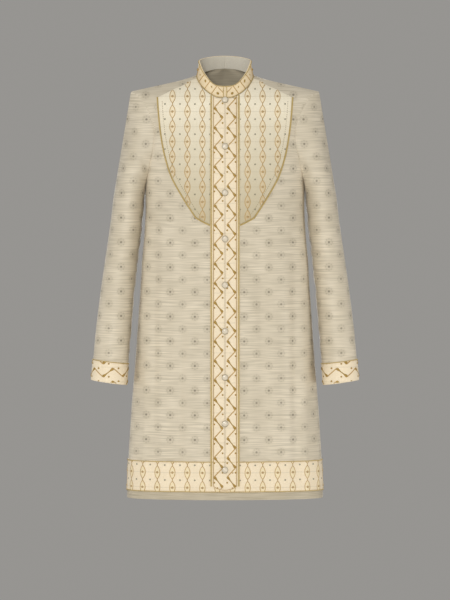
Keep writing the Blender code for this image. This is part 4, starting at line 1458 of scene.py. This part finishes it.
def lens_side(tree, given, sign):
    """One side of a lens's outline: widest in the middle, drawn out to its tips."""
    half = LATTICE[1] / 2 * MM
    line = add(tree, "CurvePrimitiveLine", (0.0, -half, 0.0), (0.0, half, 0.0))
    fine = add(tree, "ResampleCurve", line, None, LENS_POINTS)
    _, width, _, _ = lens_share(tree, given)
    aside = add(tree, "CombineXYZ", add(tree, "Math MULTIPLY", width, 0.5 * sign))
    return add(tree, "SetPosition", fine, None, None, aside)


def lens_filling(tree, given):
    """A padded filling inside the outline: a grid pinched to the lens and domed in its middle."""
    grid = add(tree, "MeshGrid", 1.0, given["Lens height"], *FILLING_CELLS)
    ogee, width, x, y = lens_share(tree, given)
    square = add(tree, "Math MULTIPLY", x, x)
    dome = add(tree, "Math ADD", add(tree, "Math MULTIPLY", square, -4.0), 1.0)
    rise = add(tree, "Math MULTIPLY", add(tree, "Math MULTIPLY", dome, ogee), PADDING * MM)
    place = add(tree, "CombineXYZ", add(tree, "Math MULTIPLY", width, x), y,
                add(tree, "Math ADD", rise, FILLING_BASE * MM))
    return add(tree, "SetPosition", grid, None, place)


print("a lens is", LENS_SIZE, "mm")

# %% Lattice of lenses
COUCHED = 0.45  # a couched thread is lower than it is wide
KNOT_FLATTEN = 0.5  # and so is a knot
LENS_KNOT = 3.3
LENS_BARS = ((9.5, 0.9, 2.0), (0.9, 10.0, 2.0))  # a cross of two bars through the middle knot
GREY_KNOT = 2.2


def lattice(tree, given, more):
    """Points of the lattice, or with more columns and rows the points between them."""
    counts = [add(tree, "Math ADD", given[name], more) for name in ("Columns", "Rows")]
    sizes = [add(tree, "Math MULTIPLY", add(tree, "Math ADD", count, -1.0), pitch * MM)
             for count, pitch in zip(counts, LATTICE)]
    return add(tree, "Transform", add(tree, "MeshGrid", *sizes, *counts), given["Middle"])


def make_lens_tree():
    tree, given = tree_with("Lens lattice", {
        "Cloth": "Object", "Columns": "Int", "Rows": "Int", "Middle": "Vector",
        "Lens width": "Float", "Lens height": "Float", "Thread": "Float", "Filling": "Material"})
    sides = add(tree, "JoinGeometry", [lens_side(tree, given, sign) for sign in (1.0, -1.0)])
    outline = add(tree, "CurveToMesh", sides, round_profile(tree, given))
    middle = [add(tree, "MeshCube", tuple(size * MM for size in bar)) for bar in LENS_BARS]
    middle.append(add(tree, "MeshUVSphere", *BALL, LENS_KNOT * MM))
    points, between = lattice(tree, given, 0.0), lattice(tree, given, 1.0)
    ends = []
    for places, shape, material, flatten in (
            (points, outline, zari_line, COUCHED),
            (points, add(tree, "JoinGeometry", middle), zari_worn, KNOT_FLATTEN),
            (points, lens_filling(tree, given), given["Filling"], 1.0),
            (between, add(tree, "MeshUVSphere", *BALL, GREY_KNOT * MM), grey_knot, KNOT_FLATTEN)):
        many = add(tree, "InstanceOnPoints", places, None, shape)
        ends.append(wrapped(tree, given, many, material, flatten))
    add(tree, "GroupOutput", add(tree, "JoinGeometry", ends))
    return tree


lens_tree = make_lens_tree()
print(lens_tree.name, "has", len(lens_tree.nodes), "nodes")

# %% Lay the lenses
def lay_lenses(name, filling, start, columns, rows):
    """Lenses on one piece, rows of them down from a start, round the centre front."""
    y = start - (rows - 1) / 2 * LATTICE[1]
    lay(name, "lenses", lens_tree, {
        "Columns": columns, "Rows": rows, "Middle": (0.0, y * MM, 0.0), "Filling": filling,
        "Lens width": LENS_SIZE[0] * MM, "Lens height": LENS_SIZE[1] * MM, "Thread": LENS_THREAD * MM})


for name in SIDES:
    lay_lenses("bib_" + name, filling_bib, LENS_START, columns=8, rows=11)
for name in ("hem_band_left", "hem_band_right", "hem_band_back"):
    lay_lenses(name, filling_band, BAND_LENS_START, columns=18, rows=4)

# %% [markdown]
# ## Zigzag of the placket and cuffs
# Two zigzag columns run down the placket, and the cuffs have the same work turned on its side, the left
# one mirrored. The stroke that falls outwards is a satin stitch, thick at both ends, and the stroke back
# is one even thread. A small knot lies below each turn. Drawn by hand it would be eighty strokes, so
# one tree draws the two strokes and the knots of one turn and repeats them.

# %% Zigzag tree
ZIGZAG_PITCH = 46.34
ZIGZAG_FALL = 25.0
ZIGZAG_WIDTH = 19.9
COLUMN_PITCH = 30.8
ZIGZAG_THREAD = 2.4
ZIGZAG_KNOT = 2.3
ZIGZAG_KNOTS = ((0.0, 14.0), (1.0, 36.6))  # share of the width, and drop below the start
SATIN_SWELL = (0.12, 0.42, 1.0, 2.7)  # from the middle of a stroke outwards it swells
SATIN_TIP = (0.45, 0.5, 1.0, 0.7)  # and narrows at its very tip
SATIN_FLATTEN = 0.4
SATIN_POINTS = 14  # points along the thick stroke
RETURN_POINTS = 8  # and along the stroke back
ZIGZAG_SIDES = 6


def make_zigzag_tree():
    tree, given = tree_with("Zigzag", {
        "Cloth": "Object", "Rows": "Int", "Columns": "Int", "Pitch": "Float",
        "Column pitch": "Float", "Width": "Float", "Fall": "Float", "Thread": "Float",
        "Start": "Vector", "Turn": "Rotation"})
    sizes = [add(tree, "Math MULTIPLY", add(tree, "Math ADD", given[count], -1.0), given[pitch])
             for count, pitch in (("Columns", "Column pitch"), ("Rows", "Pitch"))]
    grid = add(tree, "MeshGrid", *sizes, given["Columns"], given["Rows"])
    halves = [add(tree, "Math MULTIPLY", size, half) for size, half in zip(sizes, (0.5, -0.5))]
    points = add(tree, "Transform", grid, add(tree, "CombineXYZ", *halves))
    down = add(tree, "Math MULTIPLY", given["Fall"], -1.0)
    corner = add(tree, "CombineXYZ", given["Width"], down)
    onward = add(tree, "CombineXYZ", 0.0, add(tree, "Math MULTIPLY", given["Pitch"], -1.0))
    from_middle = add(tree, "Math ABSOLUTE", add(tree, "Math ADD", add(tree, "SplineParameter"), -0.5))
    swell, tip = (add(tree, "MapRange", from_middle, *span, **SMOOTH) for span in (SATIN_SWELL, SATIN_TIP))
    width = add(tree, "Math MULTIPLY", swell, tip)
    strokes = []
    for start, end, count, scale in (((0.0, 0.0, 0.0), corner, SATIN_POINTS, width),
                                     (corner, onward, RETURN_POINTS, 1.0)):
        line = add(tree, "ResampleCurve", add(tree, "CurvePrimitiveLine", start, end), None, count)
        profile = round_profile(tree, given, ZIGZAG_SIDES)
        strokes.append(add(tree, "CurveToMesh", line, profile, scale, True))
    knots = []
    for share, below in ZIGZAG_KNOTS:
        place = add(tree, "CombineXYZ", add(tree, "Math MULTIPLY", given["Width"], share), -below * MM)
        knots.append(add(tree, "Transform", add(tree, "MeshUVSphere", *BALL, ZIGZAG_KNOT * MM), place))
    ends = []
    for shape, material, flatten in ((strokes[0], zari_dark, SATIN_FLATTEN),
                                     (strokes[1], zari_line, KNOT_FLATTEN),
                                     (add(tree, "JoinGeometry", knots), zari_dark, KNOT_FLATTEN)):
        many = add(tree, "InstanceOnPoints", points, None, shape)
        turned = add(tree, "Transform", many, given["Start"], given["Turn"])
        ends.append(wrapped(tree, given, turned, material, flatten))
    add(tree, "GroupOutput", add(tree, "JoinGeometry", ends))
    return tree


zigzag_tree = make_zigzag_tree()
print(zigzag_tree.name, "has", len(zigzag_tree.nodes), "nodes")

# %% Lay the zigzags
PLACKET_START = (-25.5, -25.6)
CUFF_START = (477.5, -746.6)


def lay_zigzag(name, start, rows, columns, quarter_turn=0, mirrored=1):
    """Zigzag on one piece: start is the flat place of its first corner."""
    lay(name, "zigzag", zigzag_tree, {
        "Rows": rows, "Columns": columns, "Pitch": ZIGZAG_PITCH * MM, "Fall": ZIGZAG_FALL * MM,
        "Column pitch": mirrored * COLUMN_PITCH * MM, "Width": mirrored * ZIGZAG_WIDTH * MM,
        "Thread": ZIGZAG_THREAD * MM, "Start": (start[0] * MM, start[1] * MM, 0.0),
        "Turn": (0.0, 0.0, mirrored * quarter_turn * math.pi / 2)})


lay_zigzag("placket", PLACKET_START, rows=21, columns=2)
lay_zigzag("cuff_right", (-CUFF_START[0], CUFF_START[1]), rows=7, columns=3, quarter_turn=1)
lay_zigzag("cuff_left", CUFF_START, rows=7, columns=3, quarter_turn=1, mirrored=-1)

# %% [markdown]
# ## Cords, braids and stitches
# A cord is a line that strands wind along. Each strand swings sideways as a sine wave and rises and
# falls as another. Two strands that rise once for each swing make a twist, and three that rise twice
# make a flat plait. A screwed modifier could make a twist but not a plait, so one tree makes them all. A
# stitch is one short thread, set again and again along a line, and a knot is a small ball on a point.

# %% Cord tree
Cord = namedtuple("Cord", "strands pitch sway rise beats shift thread height")

PLAIT = Cord(3, 7.6, 1.15, 0.42, 2.0, 0.0, 1.4, 0.75)
TWIST = Cord(2, 4.2, 0.5, 0.4, 1.0, math.pi / 2, 1.15, 0.7)
SINGLE = Cord(1, 10.0, 0.0, 0.0, 1.0, 0.0, 1.2, 0.3)
DOUBLE = Cord(1, 10.0, 0.0, 0.0, 1.0, 0.0, 1.8, 0.35)
STEPS_A_TURN = 12  # points for one turn of a strand
CLOSEST_STEP = 1.0
STRAIGHT_STEP = 2.0  # between the points of a plain thread


def make_cord_tree():
    tree, given = tree_with("Cord", {
        "Cloth": "Object", "Strands": "Int", "Pitch": "Float", "Sway": "Float", "Rise": "Float",
        "Beats": "Float", "Shift": "Float", "Thread": "Float", "Height": "Float", "Step": "Float",
        "Material": "Material"})
    curve = add(tree, "MeshToCurve", given["Geometry"])
    fine = add(tree, "ResampleCurve", curve, None, given["Step"], mode="LENGTH")
    many = add(tree, "DuplicateElements", fine, None, given["Strands"], domain="SPLINE")
    share = add(tree, "Math DIVIDE", many.outputs["Duplicate Index"], given["Strands"])
    length = add(tree, "SplineParameter").outputs["Length"]
    turns = add(tree, "Math ADD", add(tree, "Math DIVIDE", length, given["Pitch"]), share)
    angle = add(tree, "Math MULTIPLY", turns, 2 * math.pi)
    sway = add(tree, "Math MULTIPLY", add(tree, "Math SINE", angle), given["Sway"])
    beat = add(tree, "Math ADD", add(tree, "Math MULTIPLY", angle, given["Beats"]), given["Shift"])
    rise = add(tree, "Math MULTIPLY", add(tree, "Math SINE", beat), given["Rise"])
    height = add(tree, "Math ADD", rise, given["Height"])
    across = add(tree, "VectorMath CROSS_PRODUCT", add(tree, "InputTangent"), (0.0, 0.0, 1.0))
    aside = add(tree, "VectorMath SCALE", across, sway)
    offset = add(tree, "VectorMath ADD", aside, add(tree, "CombineXYZ", 0.0, 0.0, height))
    placed = add(tree, "SetPosition", many, None, None, offset)
    solid = add(tree, "CurveToMesh", placed, round_profile(tree, given), None, True)
    add(tree, "GroupOutput", wrapped(tree, given, solid, given["Material"]))
    return tree


cord_tree = make_cord_tree()


def lay_cord(cloth, points, cord, material, base=0.0, name="cord"):
    """A cord along a flat line on a piece, above a base."""
    step = min(cord.pitch / STEPS_A_TURN, CLOSEST_STEP) if cord.strands > 1 else STRAIGHT_STEP
    return run_tree(cloth.name + "_" + name, cord_tree, {
        "Cloth": cloth, "Strands": cord.strands, "Beats": cord.beats, "Shift": cord.shift,
        "Pitch": cord.pitch * MM, "Sway": cord.sway * MM, "Rise": cord.rise * MM,
        "Thread": cord.thread * MM, "Height": (cord.height + base) * MM, "Step": step * MM,
        "Material": material}, points)


print(cord_tree.name, "has", len(cord_tree.nodes), "nodes")

# %% Stitch and knot trees
STITCH_FLATTEN = 0.7
LOOSE_KNOT_FLATTEN = 0.55


def make_stitch_tree():
    tree, given = tree_with("Running stitch", {"Cloth": "Object", "Pitch": "Float", "Size": "Vector",
                                               "Material": "Material"})
    curve = add(tree, "MeshToCurve", given["Geometry"])
    points = add(tree, "CurveToPoints", curve, given["Pitch"], mode="LENGTH")
    many = add(tree, "InstanceOnPoints", points, None, add(tree, "MeshUVSphere", *BALL, 0.5),
               None, None, points.outputs["Rotation"], given["Size"])
    add(tree, "GroupOutput", wrapped(tree, given, many, given["Material"], STITCH_FLATTEN))
    return tree


def make_knot_tree():
    tree, given = tree_with("Knots", {"Cloth": "Object", "Radius": "Float", "Material": "Material"})
    ball = add(tree, "MeshUVSphere", *BALL, given["Radius"])
    many = add(tree, "InstanceOnPoints", given["Geometry"], None, ball)
    add(tree, "GroupOutput", wrapped(tree, given, many, given["Material"], LOOSE_KNOT_FLATTEN))
    return tree


stitch_tree = make_stitch_tree()
knot_tree = make_knot_tree()
print(stitch_tree.name, "and", knot_tree.name)

# %% Cords on the hem band and the cuffs
EDGE_INSET = 1.4
AIM_ROW = 3  # the row that an edge's cord is moved towards


def inset(flat, row, aim, distance):
    """The first or last row of a piece's flat coordinates, moved towards the inside."""
    line = flat[row]
    return line + unit(flat[aim if row == 0 else -1 - aim] - line) * distance


for name, cloths in bands.items():
    rows = (0,) if name.startswith("cuff") else (0, -1)
    for cloth in cloths:
        for row in rows:
            line = inset(cloth.flat, row, AIM_ROW, EDGE_INSET)
            threads[name].append(lay_cord(pieces[name], line, TWIST, braid_gold))
    print(name, len(threads[name]), "objects of thread")

# %% Lines on the placket
OUTLINE_X = PLACKET_HALF_WIDTH - 0.8
OUTLINE_TOP = -46.0
OUTLINE_TIP = PLACKET_TIP + 0.9
LINE_END = PLACKET_SIDE_END + 1.0
OUTLINE_POINTS = 160
FOOT_POINTS = 21
CENTRE_LINE = (-53.0, -936.0)


def flat_at(places, side=1):
    """Flat coordinates of places seen from the front."""
    grid = (np.array(places, dtype=float) * [side, 1.0])[None]
    return dropped(grid, np.zeros(grid.shape[:2])).flat[0]


half_turn = math.asin(PLACKET_HALF_WIDTH / FOOT_RADIUS)
foot = [(FOOT_RADIUS * math.sin(a) * OUTLINE_X / PLACKET_HALF_WIDTH,
         OUTLINE_TIP + FOOT_RADIUS * (1 - math.cos(a)))
        for a in np.linspace(-half_turn, half_turn, FOOT_POINTS)]
sides = np.linspace(OUTLINE_TOP, LINE_END, OUTLINE_POINTS)
outline = [(-OUTLINE_X, z) for z in sides] + foot + [(OUTLINE_X, z) for z in sides[::-1]]
centre_line = [(0.0, z) for z in np.linspace(*CENTRE_LINE, OUTLINE_POINTS)]
for line, material in ((outline, zari_line), (centre_line, edge_line)):
    threads["placket"].append(lay_cord(pieces["placket"], flat_at(line), SINGLE, material))
print("the placket's outline has", len(outline), "points")

# %% Plaits of the placket and the bibs
PLAIT_X = 32.95
PLAIT_TOP = -43.0
PLAIT_POINTS = 220
BIB_PLAIT_OFFSET = 1.9  # the plait lies just outside the bib's edge
STITCH_INSET = 9.0  # and a row of stitches inside it
STITCH_PITCH = 5.0
STITCH_SIZE = (1.5, 1.5, 3.2)
STITCHED = slice(3, -8)  # the part of the edge that the stitches follow

bib_edge = np.vstack([through(BIB_OUTER, 80), through(BIB_LOWER, 14)[-2::-1]])
edge_way = unit(np.gradient(bib_edge, axis=0))
away = np.column_stack([-edge_way[:, 1], edge_way[:, 0]])
braids = {}
for name, side in SIDES.items():
    heights = np.linspace(PLAIT_TOP, LINE_END, PLAIT_POINTS)
    line = flat_at([(PLAIT_X, z) for z in heights], side)
    braids["placket_braid_" + name] = lay_cord(pieces["placket_braid_" + name], line, PLAIT, braid_gold)
    line = flat_at(bib_edge + away * BIB_PLAIT_OFFSET, side)
    braids["bib_braid_" + name] = lay_cord(pieces["front_" + name], line, PLAIT, braid_gold, GAP,
                                           "bib_plait")
    line = flat_at((bib_edge - away * STITCH_INSET)[STITCHED], side)
    threads["bib_" + name].append(run_tree("bib_stitches_" + name, stitch_tree, {
        "Cloth": pieces["bib_" + name], "Pitch": STITCH_PITCH * MM, "Material": stitching,
        "Size": tuple(size * MM for size in STITCH_SIZE)}, line))
for name, made in braids.items():
    print(name, len(made.data.polygons), "faces")

# %% [markdown]
# ## Embroidery of the collar
# Slanting lines cut the collar into cells, with a large and a small knot in turn. They follow no rule,
# because an embroiderer fits them to the collar's curve, so small tables give their distance from the
# centre front and their height above the seam. Both ends of the collar are worked alike.

# %% Embroidery of the collar
Slant = namedtuple("Slant", "rim_at foot_at")

COLLAR_SLANTS = [Slant(*row) for row in (
    (20.5, 35), (43, 59.5), (68, 91), (99, 121), (130, 151), (161, 181), (191, 210))]
SLANT_MARGIN = 2.5  # they stop this far from the rim and the foot
COLLAR_CORNER = [(17.0, 26.5), (4.6, 14.0)]
COLLAR_BIG = [(17.5, 10.5), (60.5, 20.0), (120.0, 18.0), (181.0, 16.0)]
COLLAR_SMALL = [(36.0, 19.0), (90.0, 19.5), (150.0, 17.0), (208.0, 15.0)]
BIG_KNOT = 3.6
SMALL_KNOT = 2.2
COLLAR_ENDS = 4.1  # the cord at each end, from the centre front
COLLAR_INSET = 1.5
COLLAR_AIM_ROW = 4


def on_collar(points, end):
    """Flat places on the collar, measured from the wearer's left end (1) or right end (-1)."""
    return [(along if end > 0 else collar_length - along, height) for along, height in points]


def collar_height(along):
    return float(np.interp(along, collar.flat[0, :, 0], collar.flat[0, :, 1]))


def cord_on_collar(line, cord, material):
    threads["collar"].append(lay_cord(pieces["collar"], line, cord, material))


for end in SIDES.values():
    for slant in COLLAR_SLANTS:
        line = [(slant.rim_at, collar_height(slant.rim_at) - SLANT_MARGIN), (slant.foot_at, SLANT_MARGIN)]
        cord_on_collar(on_collar(line, end), DOUBLE, zari_line)
    cord_on_collar(on_collar(COLLAR_CORNER, end), DOUBLE, zari_line)
    line = [(COLLAR_ENDS, COLLAR_INSET), (COLLAR_ENDS, collar_height(COLLAR_ENDS) - COLLAR_INSET)]
    cord_on_collar(on_collar(line, end), TWIST, braid_gold)
    for points, radius in ((COLLAR_BIG, BIG_KNOT), (COLLAR_SMALL, SMALL_KNOT)):
        threads["collar"].append(run_tree("collar_knots", knot_tree, {
            "Cloth": pieces["collar"], "Radius": radius * MM, "Material": zari_dark},
            on_collar(points, end), linked=False))
for row in (0, -1):
    cord_on_collar(inset(collar.flat, row, COLLAR_AIM_ROW, COLLAR_INSET), TWIST, braid_gold)
print(len(threads["collar"]), "threads on the collar")

# %% [markdown]
# ## Buttons
# Nine domed buttons close the coat. A lathe turns such a button from shell, so each is a profile turned
# round its axis, with a ridge and a flat rim that a squashed ball would not have. It sits square to the
# cloth below it.

# %% Turn a button
BUTTON_RADIUS = 7.8
BUTTON_HEIGHT = 5.2
BUTTON_PROFILE = [(0.25, 0.985), (0.45, 0.94), (0.63, 0.85), (0.78, 0.7), (0.86, 0.56), (0.9, 0.42),
                  (0.94, 0.37), (0.985, 0.35), (1.0, 0.3), (1.0, 0.12), (0.96, 0.03), (0.88, 0.0)]
BUTTON_SIDES = 48
RIM = slice(6 * BUTTON_SIDES, 10 * BUTTON_SIDES)  # faces of the flat ring round the dome


def turned_button(name, seat, out):
    turn = np.linspace(0.0, 2 * math.pi, BUTTON_SIDES, endpoint=False)
    across = np.array([1.0, 0.0, 0.0])
    up = np.cross(out, across)
    rings = [seat + BUTTON_RADIUS * r * (np.cos(turn)[:, None] * across + np.sin(turn)[:, None] * up)
             + BUTTON_HEIGHT * h * out for r, h in BUTTON_PROFILE]
    points = np.vstack([(seat + BUTTON_HEIGHT * out)[None], *rings, seat[None]])
    number = 1 + np.arange(len(rings) * BUTTON_SIDES).reshape(len(rings), BUTTON_SIDES)
    after = np.roll(number, -1, axis=1)
    faces = [(0, a, b) for a, b in zip(number[0], after[0])]
    for ring in range(len(rings) - 1):
        faces += list(zip(number[ring], number[ring + 1], after[ring + 1], after[ring]))
    faces += [(len(points) - 1, b, a) for a, b in zip(number[-1], after[-1])]
    mesh = bpy.data.meshes.new(name)
    mesh.from_pydata((points * MM).tolist(), [], [[int(k) for k in face] for face in faces])
    mesh.shade_smooth()
    mesh.materials.append(pearl)
    mesh.materials.append(pearl_rim)
    for face in mesh.polygons[RIM]:
        face.material_index = 1
    shape = bmesh.new()
    shape.from_mesh(mesh)
    bmesh.ops.recalc_face_normals(shape, faces=shape.faces)
    shape.to_mesh(mesh)
    shape.free()
    return new_object(name, mesh)


print("a button's profile has", len(BUTTON_PROFILE), "points")

# %% Set the buttons
BUTTON_COUNT = 9
BUTTON_FIRST_Z = -53.6
BUTTON_PITCH = 110.35

button_z = [BUTTON_FIRST_Z - BUTTON_PITCH * k for k in range(BUTTON_COUNT)]
seats = dropped(np.array([[(0.0, z) for z in button_z]]), np.zeros((1, BUTTON_COUNT)))
buttons = {}
for k, z in enumerate(button_z):
    out = unit(seats.out[0, k] * [0.0, 1.0, 1.0])
    seat = seats.points[0, k] + out * (2 * GAP + TRIM + over_band(z))
    buttons["button_" + str(k + 1)] = turned_button("button_" + str(k + 1) + "_pearl", seat, out)
print(len(buttons), "buttons of", 2 * BUTTON_RADIUS, "mm")

# %% [markdown]
# ## Give the cloth its thickness
# Each surface now becomes a thin solid. It could have been modelled with both faces from the start, but
# the threads need one plain surface to lie on. Solidify puts the wall inside the face, and gives the
# reverse side its own, duller material. Edges sharper than 50 degrees stay sharp, so that a cut edge
# doesn't smear its light over the face beside it.

# %% Walls
Wall = namedtuple("Wall", "thickness face reverse slot held")

SILK_WALL = Wall(1.5, silk, silk_reverse, "dupion_silk", "draped")
TRIM_WALL = Wall(TRIM, satin_trim, silk_reverse, "embroidered_silk", "laid")
WALLS = {
    "front": SILK_WALL, "back": SILK_WALL, "sleeve": SILK_WALL,
    "sleeve_left": SILK_WALL._replace(face=silk_left_sleeve),
    "collar": Wall(2.5, satin_collar, collar_reverse, "embroidered_silk", "draped"),
    "bib": TRIM_WALL._replace(face=satin_bib),
    "placket": TRIM_WALL, "hem_band": TRIM_WALL, "cuff": TRIM_WALL,
    "placket_braid": Wall(STRIP_THICKNESS, satin_strip, satin_strip, "gold_braid", "laid"),
}
SHARP_EDGE = 50.0


def wall_of(name):
    return WALLS[max((start for start in WALLS if name.startswith(start)), key=len)]


def walled(made, wall):
    """Turn an open surface into a thin solid with sharp cut edges."""
    made.data.materials.append(wall.face)
    made.data.materials.append(wall.reverse)
    solid = made.modifiers.new("wall", "SOLIDIFY")
    solid.thickness = wall.thickness * MM
    solid.offset = -1.0
    solid.material_offset = 1
    mesh = evaluated_mesh(made)
    made.modifiers.remove(solid)
    made.data = mesh
    mesh.set_sharp_from_angle(angle=math.radians(SHARP_EDGE))
    return mesh


for name, made in pieces.items():
    mesh = walled(made, wall_of(name))
    if name.startswith(("front", "back")):
        # Below the hem band the cloth takes the turned-hem silk, whose darker colour is painted shade.
        mesh.materials.append(silk_hem_painted_shade)
        for face in mesh.polygons:
            if face.material_index == 0 and face.center.z < BAND_FOOT * MM:
                face.material_index = 2

# %% Join the threads of each piece
def joined(name, parts):
    """Several thread objects as one, because they are worked on one piece."""
    parts = [part for part in parts if len(part.data.polygons)]
    with bpy.context.temp_override(active_object=parts[0], selected_editable_objects=parts):
        bpy.ops.object.join()
    parts[0].name = name
    parts[0].data.name = name
    return parts[0]


bpy.context.view_layer.update()
embroidery = {name: joined(name + "_threads", parts) for name, parts in threads.items() if parts}
for name, made in embroidery.items():
    print(made.name, len(made.data.polygons), "faces")

# %% [markdown]
# ## Tie the pieces to the frame
# Each piece takes the place of its solid and rides on the coat's one body. The threads and buttons
# sewn on each piece of cloth are listed by piece.


def tie(made):
    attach(made, "root")


sewn_on = {name: [made] for name, made in embroidery.items()}
for name, made in braids.items():
    tie(made)
    if name.startswith("bib"):
        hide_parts(name)
        name = name.replace("bib_braid", "front")
    sewn_on[name] = [made]
for made in embroidery.values():
    tie(made)
for name, made in buttons.items():
    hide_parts(name)
    tie(made)
    sewn_on["placket"].append(made)
for name, made in pieces.items():
    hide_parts(name)
    tie(made)
print(len(pieces), "sheets declared")
